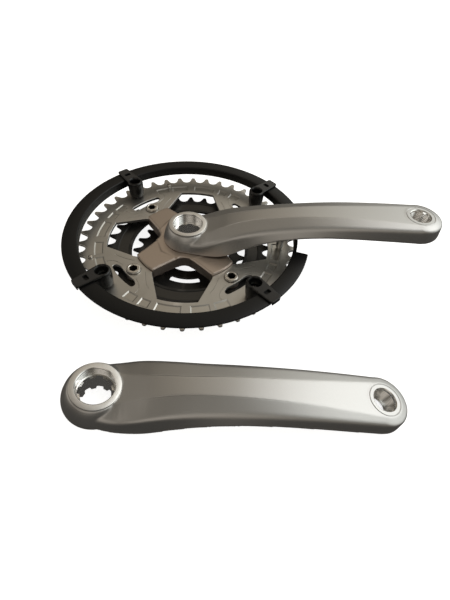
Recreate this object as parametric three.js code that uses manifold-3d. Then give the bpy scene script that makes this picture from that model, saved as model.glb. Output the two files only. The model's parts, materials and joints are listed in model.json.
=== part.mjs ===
// Bicycle crankset for a triple chainring drivetrain, laid on a flat surface with the outer faces up.
// Two loose assemblies: the right crank arm with its spider, three chainrings, bolts and chain guard,
// and the left crank arm, which leans on its boss and its pedal eye.
// Millimetres, +Z up. The right bore axis is parallel to Z.
// Heights inside the right assembly are measured from the outer face of the outer chainring.

import * as THREE from 'three';
import { mergeVertices } from 'three/addons/utils/BufferGeometryUtils.js';
import Module from 'manifold-3d';

// ---------------------------------------------------------------- driving dimensions

const CRANK_LENGTH = 170;          // bore axis to pedal axis
const CLEARANCE = 0.3;             // gap left between pieces that touch
const CHAIN_PITCH = 12.7;
const ROLLER_SEAT_R = 4.0;
const TOOTH_ADDENDUM = 2.95;       // tooth tip above the pitch circle
const RING_SPACING = 7.7;          // from one chainring to the next

const OUTER_TEETH = 42;
const MIDDLE_TEETH = 32;
const INNER_TEETH = 22;
const OUTER_RING_T = 2.4;
const MIDDLE_RING_T = 2.0;
const INNER_RING_T = 2.0;

const OUTER_BOLT_CIRCLE = 104;     // outer and middle rings
const INNER_BOLT_CIRCLE = 64;      // inner ring
const FIRST_ARM_ANGLE = 45;        // spider arms stand at 45 degrees to the crank arm
const ARM_COUNT = 4;

const EXTRACTOR_R = 11.05;         // M22 x 1 extractor thread
const EXTRACTOR_DEPTH = 9;
const SPLINE_COUNT = 8;
const SPLINE_MAJOR_R = 10.6;
const SPLINE_MINOR_R = 9.1;
const RIM_R = 14.7;                // flat rim round the bore mouth
const RIM_STEP = 1.2;
const BOSS_R = 19.8;
const BOSS_FOOT_R = 15.2;
const LEFT_BOSS_DEPTH = 24;
const RIGHT_BOSS_DEPTH = 30;
const RIM_ABOVE_RING = 16.6;       // bore rim above the outer chainring

const PEDAL_THREAD_R = 7.14;       // 9/16 inch pedal thread
const PEDAL_CHAMFER = 0.6;
const EYE_GROOVE_R = 10.1;         // turned groove round the pedal hole
const EYE_R = 17.3;
const EYE_FACE_Z = 23.4;           // pedal face above the bore rim
const EYE_THICKNESS = 14;

const SPIDER_TOP = 3.0;
const SPIDER_HUB_LEDGE = 1.2;       // spider hub past the arm boss that sits on it
const HUB_SPIGOT_R = 15.5;
const TAB_REACH = 8.6;             // ring tabs reach this far inside the bolt circle
const TAB_SEAT_T = 4.9;            // spider flange between the outer and middle rings
const TAB_NOSE = 7;                // spider flange past the bolt circle
const INNER_POST_WALL = 2.6;
const INNER_OPENING_INSET = 11.7;  // inner ring's opening inside its bolt circle
const INNER_SLOT_INSET = 3.8;      // curved slots either side of the inner bolt circle
const INNER_SLOT_OUTSET = 1.2;
const INNER_SLOT_HALF_DEG = 23;

const WINDOW_REACH = 12.5;         // ring windows and kidneys, outward from the bolt circle
const WINDOW_HALF_DEG = 14.5;
const TAB_HALF_DEG = 15.5;
const KIDNEY_OUTER_REACH = 12.0;
const KIDNEY_INNER_REACH = 6.2;
const KIDNEY_HALF_DEG = 12.5;

const GUARD_OVERHANG = 6.9;         // guard outside past the outer ring's tooth tips
const GUARD_WIDTH = 11.5;
const GUARD_TOP = 12.9;            // above the outer ring
const GUARD_FLANGE_T = 1.7;
const GUARD_WALL_T = 2.2;
const GUARD_WALL_BOTTOM = 5.4;
const GUARD_NOTCH_HALF_DEG = 12.4; // flange cut away beneath the crank arm
const BRACKET_INSET = 5.6;         // guard screws inside the outer ring's tooth roots
const BRACKET_BOSS_R = 6.0;
const FINGER_T = 1.4;
const BRACKET_RECESS_R = 4.1;
const BRACKET_RECESS_FLOOR = 5.2;
const FINGER_WIDTH = 10.4;
const FINGER_LIP_T = 1.2;

const CHAINRING_BOLT_HEAD_TOP = 0.9;
const CHAINRING_BOLT_SEAT = 0.9;   // head sunk into the ring tab
const CHAINRING_NUT_WALL = 1.1;
const CHAINRING_HEAD_LEDGE = 0.4;  // bolt head past the nut
const CHAINRING_BOLT_R = 3.8;
const HEX_KEY_R = 2.9;
const INNER_BOLT_HEAD_H = 2.2;
const INNER_BOLT_HEAD_LEDGE = 1.7;
const GUARD_SCREW_R = 1.9;

const PIN_INSET = 3.8;              // shift pins inside the tooth roots
const PIN_R = 1.9;
const PIN_ANGLES = [21, 111, 201, 291];
const DROP_PIN_INSET = 7.5;        // chain drop pin behind the crank arm
const DROP_PIN_R = 2.8;
const DROP_PIN_TOP = 7.5;

const LEFT_ARM_X = -36;            // left bore from the right bore, seen from above
const LEFT_ARM_Y = -134.3;
const LEFT_ARM_TURN_DEG = 3.4;     // the left arm lies slightly turned

// Lengthwise lines of the forged arm, bore rim at z = 0: distance from the bore axis, half width, height.
// The last station falls on the pedal axis, so a longer crank stretches the blade only.
const BLADE_ROOT = 45;             // the blade keeps its shape up to here whatever the crank length
const CREST_LINE = [
  [0, 9.0, -2.2],
  [12, 9.0, -1.2],
  [22, 8.0, 2.6],
  [32, 6.8, 7.2],
  [45, 5.8, 11.6],
  [60, 5.5, 15.2],
  [80, 5.9, 18.7],
  [100, 6.4, 20.9],
  [120, 7.2, 22.2],
  [145, 9.0, 23.0],
  [170, 11.0, EYE_FACE_Z],
];
const EDGE_LINE = [
  [0, 17.0, -6.5],
  [12, 19.3, -4.8],
  [22, 19.8, -0.6],
  [32, 19.0, 3.5],
  [45, 17.6, 7.7],
  [60, 16.4, 11.2],
  [80, 15.7, 15.0],
  [100, 15.7, 17.9],
  [120, 15.9, 19.8],
  [145, 16.0, 21.2],
  [170, 15.9, 22.0],
];
const WAIST_LINE = [
  [0, 19.4, -14.0],
  [12, 21.0, -14.4],
  [22, 21.3, -13.8],
  [32, 21.2, -11.0],
  [45, 20.8, -3.6],
  [60, 20.1, 3.0],
  [80, 19.4, 8.4],
  [100, 18.8, 11.0],
  [120, 18.3, 11.9],
  [145, 17.8, 12.1],
  [170, EYE_R, 12.1],
];
const SOLE_LINE = [
  [0, 15.5, -18.0],
  [12, 16.0, -18.2],
  [22, 16.0, -17.6],
  [32, 15.8, -14.6],
  [45, 15.5, -7.0],
  [60, 15.5, -0.2],
  [80, 15.4, 5.6],
  [100, 15.2, 8.4],
  [120, 15.0, 9.3],
  [145, 14.8, 9.5],
  [170, 14.6, EYE_FACE_Z - EYE_THICKNESS],
];
const BLADE_STEPS = 20;

// ---------------------------------------------------------------- derived heights

const OUTER_RING_BOTTOM = -OUTER_RING_T;
const TAB_SEAT_TOP = OUTER_RING_BOTTOM - CLEARANCE;
const TAB_SEAT_BOTTOM = TAB_SEAT_TOP - TAB_SEAT_T;
const MIDDLE_RING_TOP = TAB_SEAT_BOTTOM - CLEARANCE;
const MIDDLE_RING_BOTTOM = MIDDLE_RING_TOP - MIDDLE_RING_T;
const INNER_RING_TOP = MIDDLE_RING_TOP - RING_SPACING;
const INNER_RING_BOTTOM = INNER_RING_TOP - INNER_RING_T;
const INNER_POST_BOTTOM = INNER_RING_TOP + CLEARANCE;
const ASSEMBLY_BOTTOM = INNER_RING_BOTTOM - INNER_BOLT_HEAD_H - CLEARANCE;
const RAD = Math.PI / 180;

const BOLT_CIRCLE_R = OUTER_BOLT_CIRCLE / 2;
const SPIDER_HUB_R = BOSS_R + SPIDER_HUB_LEDGE;
const SPIDER_SHOULDER_R = BOLT_CIRCLE_R - TAB_REACH;
const TAB_END_R = BOLT_CIRCLE_R + TAB_NOSE;
const WINDOW_R = BOLT_CIRCLE_R + WINDOW_REACH;
const KIDNEY_OUTER_R = BOLT_CIRCLE_R + KIDNEY_OUTER_REACH;
const KIDNEY_INNER_R = BOLT_CIRCLE_R + KIDNEY_INNER_REACH;

const OUTER_ROOT_R = pitchRadius(OUTER_TEETH) - ROLLER_SEAT_R;
const OUTER_TIP_R = pitchRadius(OUTER_TEETH) + TOOTH_ADDENDUM;
const BRACKET_CIRCLE_R = OUTER_ROOT_R - BRACKET_INSET;
const PIN_CIRCLE_R = OUTER_ROOT_R - PIN_INSET;
const DROP_PIN_CIRCLE_R = OUTER_ROOT_R - DROP_PIN_INSET;
const GUARD_OUTER_R = OUTER_TIP_R + GUARD_OVERHANG;
const GUARD_INNER_R = GUARD_OUTER_R - GUARD_WIDTH;
const BRACKET_TOP = GUARD_TOP + CLEARANCE + FINGER_T;

const CHAINRING_NUT_R = CHAINRING_BOLT_R + CHAINRING_NUT_WALL;
const CHAINRING_BOLT_HEAD_R = CHAINRING_NUT_R + CHAINRING_HEAD_LEDGE;
const INNER_BOLT_HEAD_R = CHAINRING_BOLT_R + INNER_BOLT_HEAD_LEDGE;
const INNER_POST_R = CHAINRING_BOLT_R + INNER_POST_WALL;

// ---------------------------------------------------------------- finishes

const finishes = {
  armSilver: { color: 0xb4b1ac, roughness: 0.42, metalness: 0.8 },
  spiderBronze: { color: 0xb5a596, roughness: 0.4, metalness: 0.8 },
  ringSilver: { color: 0xb9b8b4, roughness: 0.38, metalness: 0.9 },
  ringBlack: { color: 0x2b2b2c, roughness: 0.45, metalness: 0.7 },
  boltBright: { color: 0xd2cfc9, roughness: 0.25, metalness: 1.0 },
  guardBlack: { color: 0x38393a, roughness: 0.5, metalness: 0.0 },
  screwBright: { color: 0xc9c9c6, roughness: 0.3, metalness: 1.0 },
};

// ---------------------------------------------------------------- solid helpers

const wasm = await Module();
wasm.setup();

function solid(geometry) {
  const bare = geometry.clone();
  bare.deleteAttribute('normal');
  bare.deleteAttribute('uv');
  const merged = mergeVertices(bare, 1e-4);
  return new wasm.Manifold(new wasm.Mesh({
    numProp: 3,
    vertProperties: Float32Array.from(merged.attributes.position.array),
    triVerts: Uint32Array.from(merged.index.array),
  }));
}

function toGeometry(manifold) {
  const mesh = manifold.getMesh();
  const geometry = new THREE.BufferGeometry();
  geometry.setAttribute('position', new THREE.BufferAttribute(Float32Array.from(mesh.vertProperties), 3));
  geometry.setIndex(Array.from(mesh.triVerts));
  geometry.computeVertexNormals();
  return geometry;
}

function union(parts) {
  return parts.slice(1).reduce((sum, part) => sum.add(part), parts[0]);
}

function polar(radius, degrees) {
  return new THREE.Vector2(radius * Math.cos(degrees * RAD), radius * Math.sin(degrees * RAD));
}

// Straight cylinder from z0 to z1 about a vertical axis at (x, y).
function drum(radius, z0, z1, x = 0, y = 0, segments = 24) {
  const geometry = new THREE.CylinderGeometry(radius, radius, z1 - z0, segments);
  geometry.rotateX(Math.PI / 2);
  geometry.translate(x, y, (z0 + z1) / 2);
  return solid(geometry);
}

// Solid of revolution about Z from [radius, height] pairs that start and end on the axis or close.
function turned(profile, segments = 48) {
  const points = profile.map(([r, z]) => new THREE.Vector2(r, z));
  const geometry = new THREE.LatheGeometry(points, segments);
  geometry.rotateX(Math.PI / 2);
  const body = solid(geometry);
  if (body.volume() > 0) {
    return body;
  }
  const flipped = new THREE.LatheGeometry(points.reverse(), segments);
  flipped.rotateX(Math.PI / 2);
  return solid(flipped);
}

function plate(shape, z0, z1, curveSegments = 8) {
  const geometry = new THREE.ExtrudeGeometry(shape, {
    depth: z1 - z0,
    bevelEnabled: false,
    curveSegments,
  });
  geometry.translate(0, 0, z0);
  return solid(geometry);
}

function block(x0, x1, y0, y1, z0, z1) {
  const geometry = new THREE.BoxGeometry(x1 - x0, y1 - y0, z1 - z0);
  geometry.translate((x0 + x1) / 2, (y0 + y1) / 2, (z0 + z1) / 2);
  return solid(geometry);
}

function turn(body, degrees) {
  return body.rotate([0, 0, degrees]);
}

// Symmetrical loft along +X. lines run from the top of the section to its underside, and each is a
// list of [x, half width, height] with the same x stations.
function loft(lines, steps) {
  const curves = lines.map((line) => new THREE.CatmullRomCurve3(
    line.map(([x, y, z]) => new THREE.Vector3(x, y, z)), false, 'catmullrom', 0.5));
  const outline = [];
  lines.forEach((line, i) => outline.push(new THREE.Vector2(line[0][1], -i)));
  lines.slice().reverse().forEach((line, i) => {
    outline.push(new THREE.Vector2(-line[0][1], i - lines.length + 1));
  });
  const shape = new THREE.Shape(outline);
  const geometry = new THREE.ExtrudeGeometry(shape, { depth: steps, steps, bevelEnabled: false });
  const position = geometry.attributes.position;
  for (let i = 0; i < position.count; i += 1) {
    const line = Math.round(-position.getY(i));
    const side = Math.sign(position.getX(i));
    const station = curves[line].getPoint(Math.min(1, Math.round(position.getZ(i)) / steps));
    position.setXYZ(i, station.x, side * station.y, station.z);
  }
  return solid(geometry);
}

// ---------------------------------------------------------------- crank arms

function stretchToLength(line) {
  const last = line[line.length - 1][0];
  const scale = (CRANK_LENGTH - BLADE_ROOT) / (last - BLADE_ROOT);
  return line.map(([x, y, z]) => [x <= BLADE_ROOT ? x : BLADE_ROOT + (x - BLADE_ROOT) * scale, y, z]);
}

function splinedBore(depth) {
  const shape = new THREE.Shape();
  const pitch = 360 / SPLINE_COUNT;
  const points = [];
  for (let k = 0; k < SPLINE_COUNT; k += 1) {
    const middle = k * pitch;
    points.push(polar(SPLINE_MAJOR_R, middle - pitch * 0.24));
    points.push(polar(SPLINE_MAJOR_R, middle + pitch * 0.24));
    points.push(polar(SPLINE_MINOR_R, middle + pitch * 0.34));
    points.push(polar(SPLINE_MINOR_R, middle + pitch * 0.66));
  }
  shape.setFromPoints(points);
  const splines = plate(shape, -depth - 1, -EXTRACTOR_DEPTH + 0.5);
  const mouth = turned([
    [0, -EXTRACTOR_DEPTH],
    [EXTRACTOR_R, -EXTRACTOR_DEPTH],
    [EXTRACTOR_R, -0.5],
    [EXTRACTOR_R + 0.5, 0],
    [EXTRACTOR_R + 0.5, 1],
    [0, 1],
  ], 32);
  return splines.add(mouth);
}

function pedalHole() {
  const sole = EYE_FACE_Z - EYE_THICKNESS;
  const hole = turned([
    [0, sole - 1],
    [PEDAL_THREAD_R + PEDAL_CHAMFER, sole - 1],
    [PEDAL_THREAD_R + PEDAL_CHAMFER, sole],
    [PEDAL_THREAD_R, sole + PEDAL_CHAMFER],
    [PEDAL_THREAD_R, EYE_FACE_Z - PEDAL_CHAMFER],
    [PEDAL_THREAD_R + PEDAL_CHAMFER, EYE_FACE_Z],
    [PEDAL_THREAD_R + PEDAL_CHAMFER, EYE_FACE_Z + 1],
    [0, EYE_FACE_Z + 1],
  ], 24);
  const groove = turned([
    [EYE_GROOVE_R - 0.35, EYE_FACE_Z - 0.35],
    [EYE_GROOVE_R + 0.35, EYE_FACE_Z - 0.35],
    [EYE_GROOVE_R + 0.35, EYE_FACE_Z + 1],
    [EYE_GROOVE_R - 0.35, EYE_FACE_Z + 1],
    [EYE_GROOVE_R - 0.35, EYE_FACE_Z - 0.35],
  ], 24);
  return hole.add(groove).translate([CRANK_LENGTH, 0, 0]);
}

function bladeWithEye() {
  const blade = loft([CREST_LINE, EDGE_LINE, WAIST_LINE, SOLE_LINE].map(stretchToLength), BLADE_STEPS);
  const sole = EYE_FACE_Z - EYE_THICKNESS;
  const eye = turned([
    [0, sole],
    [SOLE_LINE[SOLE_LINE.length - 1][1], sole],
    [WAIST_LINE[WAIST_LINE.length - 1][1], WAIST_LINE[WAIST_LINE.length - 1][2]],
    [EDGE_LINE[EDGE_LINE.length - 1][1], EDGE_LINE[EDGE_LINE.length - 1][2]],
    [CREST_LINE[CREST_LINE.length - 1][1], EYE_FACE_Z],
    [0, EYE_FACE_Z],
  ], 32).translate([CRANK_LENGTH, 0, 0]);
  return blade.add(eye);
}

// The rim stands clear of the blade, which is relieved in a crescent beside it.
function rimRelief() {
  return drum(RIM_R + 0.6, -RIM_STEP, 30, 0, 0, 36);
}

function leftArm() {
  const boss = turned([
    [0, -LEFT_BOSS_DEPTH],
    [BOSS_FOOT_R, -LEFT_BOSS_DEPTH],
    [BOSS_FOOT_R + 0.8, -LEFT_BOSS_DEPTH + 0.8],
    [BOSS_R - 0.2, -16.8],
    [BOSS_R, -14.6],
    [BOSS_R - 1.2, -8.8],
    [BOSS_R - 3.2, -3.6],
    [RIM_R + 0.4, -RIM_STEP],
    [RIM_R, -0.4],
    [RIM_R - 0.4, 0],
    [0, 0],
  ], 36);
  return bladeWithEye().subtract(rimRelief()).add(boss)
    .subtract(splinedBore(LEFT_BOSS_DEPTH))
    .subtract(pedalHole());
}

function rightArm() {
  const shoulder = SPIDER_TOP + CLEARANCE - RIM_ABOVE_RING;
  const boss = turned([
    [0, -RIGHT_BOSS_DEPTH],
    [HUB_SPIGOT_R - 0.8, -RIGHT_BOSS_DEPTH],
    [HUB_SPIGOT_R, -RIGHT_BOSS_DEPTH + 0.8],
    [HUB_SPIGOT_R, shoulder],
    [BOSS_R, shoulder],
    [BOSS_R - 1.2, -8.8],
    [BOSS_R - 3.2, -3.6],
    [RIM_R + 0.4, -RIM_STEP],
    [RIM_R, -0.4],
    [RIM_R - 0.4, 0],
    [0, 0],
  ], 36);
  const underside = block(-40, 70, -40, 40, -40, shoulder);
  return bladeWithEye().subtract(rimRelief()).subtract(underside).add(boss)
    .subtract(splinedBore(RIGHT_BOSS_DEPTH))
    .subtract(pedalHole());
}

// ---------------------------------------------------------------- chainrings

function pitchRadius(teeth) {
  return CHAIN_PITCH / (2 * Math.sin(Math.PI / teeth));
}

// Outline of a chainring: a roller seat between teeth, straight flanks and a narrow tip.
function toothedOutline(teeth) {
  const pitchR = pitchRadius(teeth);
  const tipR = pitchR + TOOTH_ADDENDUM;
  const step = 360 / teeth;
  const tipHalf = 0.9 / tipR / RAD;
  const points = [];
  for (let k = 0; k < teeth; k += 1) {
    const tooth = (k + 0.5) * step + 90;
    const seat = tooth - step / 2;
    const centre = polar(pitchR, seat);
    [-55, 0, 55].forEach((swing) => {
      const direction = polar(ROLLER_SEAT_R, seat + 180 - swing);
      points.push(centre.clone().add(direction));
    });
    points.push(polar(tipR, tooth - tipHalf));
    points.push(polar(tipR, tooth + tipHalf));
  }
  return points;
}

function arcPath(points, radius, from, to, steps) {
  for (let i = 0; i <= steps; i += 1) {
    points.push(polar(radius, from + ((to - from) * i) / steps));
  }
}

// Four tabs reach in to the spider with a large window between each pair.
function tabbedOpening() {
  const points = [];
  for (let k = 0; k < ARM_COUNT; k += 1) {
    const axis = k * 90;
    const cut = 4.2;
    arcPath(points, WINDOW_R, axis - WINDOW_HALF_DEG + cut, axis + WINDOW_HALF_DEG - cut, 4);
    points.push(polar(WINDOW_R - 1.1, axis + WINDOW_HALF_DEG - 1.1));
    points.push(polar(WINDOW_R - 4.0, axis + WINDOW_HALF_DEG + 0.9));
    const tab = axis + FIRST_ARM_ANGLE;
    points.push(polar(SPIDER_SHOULDER_R + 3, tab - TAB_HALF_DEG - 0.3));
    arcPath(points, SPIDER_SHOULDER_R + CLEARANCE, tab - TAB_HALF_DEG + 1.4, tab + TAB_HALF_DEG - 1.4, 4);
    points.push(polar(SPIDER_SHOULDER_R + 3, tab + TAB_HALF_DEG + 0.3));
    const next = axis + 90;
    points.push(polar(WINDOW_R - 4.0, next - WINDOW_HALF_DEG - 0.9));
    points.push(polar(WINDOW_R - 1.1, next - WINDOW_HALF_DEG + 1.1));
  }
  return points;
}

function kidney(angle) {
  const points = [];
  arcPath(points, KIDNEY_OUTER_R, angle - KIDNEY_HALF_DEG, angle + KIDNEY_HALF_DEG, 4);
  points.push(polar(KIDNEY_OUTER_R - 1.3, angle + KIDNEY_HALF_DEG + 0.9));
  points.push(polar(KIDNEY_OUTER_R - 2.5, angle + KIDNEY_HALF_DEG - 0.8));
  arcPath(points, KIDNEY_INNER_R, angle + 5.5, angle - 5.5, 2);
  points.push(polar(KIDNEY_OUTER_R - 2.5, angle - KIDNEY_HALF_DEG + 0.8));
  points.push(polar(KIDNEY_OUTER_R - 1.3, angle - KIDNEY_HALF_DEG - 0.9));
  return points;
}

function armAngles() {
  return Array.from({ length: ARM_COUNT }, (_, k) => FIRST_ARM_ANGLE + (k * 360) / ARM_COUNT);
}

function outerRing() {
  const shape = new THREE.Shape(toothedOutline(OUTER_TEETH));
  shape.holes.push(new THREE.Path(tabbedOpening()));
  let ring = plate(shape, OUTER_RING_BOTTOM, 0);
  armAngles().forEach((angle) => {
    const slot = plate(new THREE.Shape(kidney(angle)), OUTER_RING_BOTTOM - 1, 1);
    const bolt = polar(BOLT_CIRCLE_R, angle);
    const screw = polar(BRACKET_CIRCLE_R, angle);
    ring = ring.subtract(slot)
      .subtract(drum(CHAINRING_NUT_R + CLEARANCE, OUTER_RING_BOTTOM - 1, 1, bolt.x, bolt.y, 16))
      .subtract(drum(CHAINRING_BOLT_HEAD_R + CLEARANCE, -CHAINRING_BOLT_SEAT, 1, bolt.x, bolt.y, 16))
      .subtract(drum(GUARD_SCREW_R + CLEARANCE, OUTER_RING_BOTTOM - 1, 1, screw.x, screw.y, 12));
  });
  PIN_ANGLES.forEach((angle) => {
    const pin = polar(PIN_CIRCLE_R, angle);
    ring = ring.subtract(drum(PIN_R, OUTER_RING_BOTTOM - 1, 1, pin.x, pin.y, 10));
  });
  const drop = polar(DROP_PIN_CIRCLE_R, 0);
  return ring.subtract(drum(DROP_PIN_R - 0.9, OUTER_RING_BOTTOM - 1, 1, drop.x, drop.y, 12));
}

function middleRing() {
  const shape = new THREE.Shape(toothedOutline(MIDDLE_TEETH));
  const opening = [];
  arcPath(opening, BOLT_CIRCLE_R - 5.6, 0, 352, 44);
  shape.holes.push(new THREE.Path(opening));
  let ring = plate(shape, MIDDLE_RING_BOTTOM, MIDDLE_RING_TOP);
  armAngles().forEach((angle) => {
    const bolt = polar(BOLT_CIRCLE_R, angle);
    ring = ring.subtract(drum(CHAINRING_NUT_R + CLEARANCE, MIDDLE_RING_BOTTOM - 1, MIDDLE_RING_TOP + 1,
      bolt.x, bolt.y, 16));
    const tab = drum(CHAINRING_NUT_R + 2.7, MIDDLE_RING_BOTTOM, MIDDLE_RING_TOP, bolt.x, bolt.y, 20)
      .subtract(drum(CHAINRING_NUT_R + CLEARANCE, MIDDLE_RING_BOTTOM - 1, MIDDLE_RING_TOP + 1,
        bolt.x, bolt.y, 16));
    ring = ring.add(tab);
  });
  return ring;
}

function innerRing() {
  const shape = new THREE.Shape(toothedOutline(INNER_TEETH));
  const opening = [];
  arcPath(opening, INNER_BOLT_CIRCLE / 2 - INNER_OPENING_INSET, 0, 350, 35);
  shape.holes.push(new THREE.Path(opening));
  // A curved slot between each pair of bolts leaves a carrier band inside the ring.
  armAngles().forEach((angle) => {
    const axis = angle + 180 / ARM_COUNT;
    const slot = [];
    arcPath(slot, INNER_BOLT_CIRCLE / 2 + INNER_SLOT_OUTSET, axis - INNER_SLOT_HALF_DEG,
      axis + INNER_SLOT_HALF_DEG, 8);
    arcPath(slot, INNER_BOLT_CIRCLE / 2 - INNER_SLOT_INSET, axis + INNER_SLOT_HALF_DEG - 1,
      axis - INNER_SLOT_HALF_DEG + 1, 8);
    shape.holes.push(new THREE.Path(slot));
  });
  let ring = plate(shape, INNER_RING_BOTTOM, INNER_RING_TOP);
  armAngles().forEach((angle) => {
    const bolt = polar(INNER_BOLT_CIRCLE / 2, angle);
    ring = ring.add(drum(CHAINRING_BOLT_R + 3.2, INNER_RING_BOTTOM, INNER_RING_TOP, bolt.x, bolt.y, 20));
    ring = ring.subtract(drum(CHAINRING_BOLT_R + CLEARANCE, INNER_RING_BOTTOM - 1, INNER_RING_TOP + 1,
      bolt.x, bolt.y, 16));
  });
  return ring;
}

// ---------------------------------------------------------------- spider

function spider() {
  const bottom = TAB_SEAT_BOTTOM;
  let body = turned([
    [0, bottom],
    [SPIDER_HUB_R - 0.6, bottom],
    [SPIDER_HUB_R, bottom + 0.6],
    [SPIDER_HUB_R, SPIDER_TOP - 1.0],
    [SPIDER_HUB_R - 1.0, SPIDER_TOP],
    [0, SPIDER_TOP],
  ], 40);
  const tip = SPIDER_SHOULDER_R + 2.6;
  // Raised arm with bevelled edges, from the hub out to the shoulder against the ring tab.
  const raised = loft([
    [[6, 12.3, SPIDER_TOP], [18, 12.3, SPIDER_TOP - 0.05], [32, 10.6, 2.0], [tip, 8.6, 1.1]],
    [[6, 14.2, SPIDER_TOP - 1.6], [18, 14.0, SPIDER_TOP - 1.6], [32, 12.0, 0.4], [tip, 10.3, -0.4]],
    [[6, 14.6, bottom + 1], [18, 14.4, bottom + 1], [32, 12.4, bottom + 1], [tip, 10.7, bottom + 1]],
    [[6, 13.6, bottom], [18, 13.4, bottom], [32, 11.4, bottom], [tip, 9.7, bottom]],
  ], 5).intersect(drum(SPIDER_SHOULDER_R, -40, 20, 0, 0, 56));
  const seat = new THREE.Shape();
  const bolt = BOLT_CIRCLE_R;
  seat.moveTo(bolt - 16, -10.6);
  seat.lineTo(bolt - 3, -8.6);
  seat.absarc(bolt, 0, TAB_END_R - bolt + 1.2, -1.25, 1.25, false);
  seat.lineTo(bolt - 3, 8.6);
  seat.lineTo(bolt - 16, 10.6);
  const tab = plate(seat, bottom, TAB_SEAT_TOP, 6);
  const post = drum(INNER_POST_R, INNER_POST_BOTTOM, bottom + 1, INNER_BOLT_CIRCLE / 2, 0, 16);
  const arm = union([raised, tab, post])
    .subtract(drum(CHAINRING_NUT_R + CLEARANCE, bottom - 1, 1, bolt, 0, 16))
    .subtract(drum(CHAINRING_BOLT_R + CLEARANCE, INNER_POST_BOTTOM - 1, INNER_POST_BOTTOM + 7.5,
      INNER_BOLT_CIRCLE / 2, 0, 16));
  armAngles().forEach((angle) => {
    body = body.add(turn(arm, angle));
  });
  return body.subtract(drum(HUB_SPIGOT_R + CLEARANCE, -30, 20, 0, 0, 40));
}

// ---------------------------------------------------------------- fasteners

function hexSocket(top, depth, x = 0) {
  const key = new THREE.CylinderGeometry(HEX_KEY_R, HEX_KEY_R, depth + 1, 6);
  key.rotateX(Math.PI / 2);
  key.translate(x, 0, top - depth / 2 + 0.5);
  return solid(key);
}

function chainringBolt() {
  const top = CHAINRING_BOLT_HEAD_TOP;
  const seat = -CHAINRING_BOLT_SEAT + CLEARANCE;
  return turned([
    [0, MIDDLE_RING_BOTTOM + 0.6],
    [CHAINRING_BOLT_R, MIDDLE_RING_BOTTOM + 0.6],
    [CHAINRING_BOLT_R, seat],
    [CHAINRING_BOLT_HEAD_R, seat],
    [CHAINRING_BOLT_HEAD_R, top - 0.7],
    [CHAINRING_BOLT_HEAD_R - 0.8, top],
    [0, top],
  ], 14).subtract(hexSocket(top, 4));
}

function chainringNut() {
  const inner = CHAINRING_BOLT_R + CLEARANCE;
  const foot = MIDDLE_RING_BOTTOM - CLEARANCE;
  return turned([
    [inner, foot - 1.4],
    [CHAINRING_NUT_R + 1.1, foot - 1.4],
    [CHAINRING_NUT_R + 1.5, foot - 1.0],
    [CHAINRING_NUT_R + 1.5, foot],
    [CHAINRING_NUT_R, foot],
    [CHAINRING_NUT_R, -CHAINRING_BOLT_SEAT - 0.6],
    [inner, -CHAINRING_BOLT_SEAT - 0.6],
    [inner, foot - 1.4],
  ], 14);
}

function innerRingBolt() {
  const seat = INNER_RING_BOTTOM - CLEARANCE;
  return turned([
    [0, seat - INNER_BOLT_HEAD_H],
    [INNER_BOLT_HEAD_R - 0.8, seat - INNER_BOLT_HEAD_H],
    [INNER_BOLT_HEAD_R, seat - INNER_BOLT_HEAD_H + 0.8],
    [INNER_BOLT_HEAD_R, seat],
    [CHAINRING_BOLT_R, seat],
    [CHAINRING_BOLT_R, INNER_POST_BOTTOM + 6.5],
    [0, INNER_POST_BOTTOM + 7.0],
  ], 16).subtract(hexSocket(seat - INNER_BOLT_HEAD_H + 2.6, 3.2));
}

function guardScrew() {
  const seat = BRACKET_RECESS_FLOOR + CLEARANCE;
  return turned([
    [0, OUTER_RING_BOTTOM - 0.8],
    [GUARD_SCREW_R, OUTER_RING_BOTTOM - 0.8],
    [GUARD_SCREW_R, seat],
    [BRACKET_RECESS_R - 0.6, seat],
    [BRACKET_RECESS_R - 0.6, seat + 1.6],
    [BRACKET_RECESS_R - 1.4, seat + 2.3],
    [0, seat + 2.5],
  ], 12).subtract(block(-2.1, 2.1, -0.45, 0.45, seat + 1.1, seat + 4))
    .subtract(block(-0.45, 0.45, -2.1, 2.1, seat + 1.1, seat + 4));
}

// ---------------------------------------------------------------- chain guard

function chainGuard() {
  const wall = GUARD_INNER_R + GUARD_WALL_T;
  const under = GUARD_TOP - GUARD_FLANGE_T;
  const ring = turned([
    [GUARD_INNER_R + 0.5, GUARD_WALL_BOTTOM],
    [wall, GUARD_WALL_BOTTOM],
    [wall, under],
    [GUARD_OUTER_R, under],
    [GUARD_OUTER_R, GUARD_TOP - 0.9],
    [GUARD_OUTER_R - 0.9, GUARD_TOP],
    [GUARD_INNER_R + 0.8, GUARD_TOP],
    [GUARD_INNER_R, GUARD_TOP - 0.8],
    [GUARD_INNER_R + 0.5, GUARD_WALL_BOTTOM],
  ], 60);
  const half = GUARD_NOTCH_HALF_DEG * RAD;
  const sector = new THREE.Shape();
  sector.absarc(0, 0, GUARD_OUTER_R + 5, -half, half, false);
  sector.absarc(0, 0, wall + 0.4, half, -half, true);
  return ring.subtract(plate(sector, under - 1, GUARD_TOP + 1, 4));
}

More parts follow.
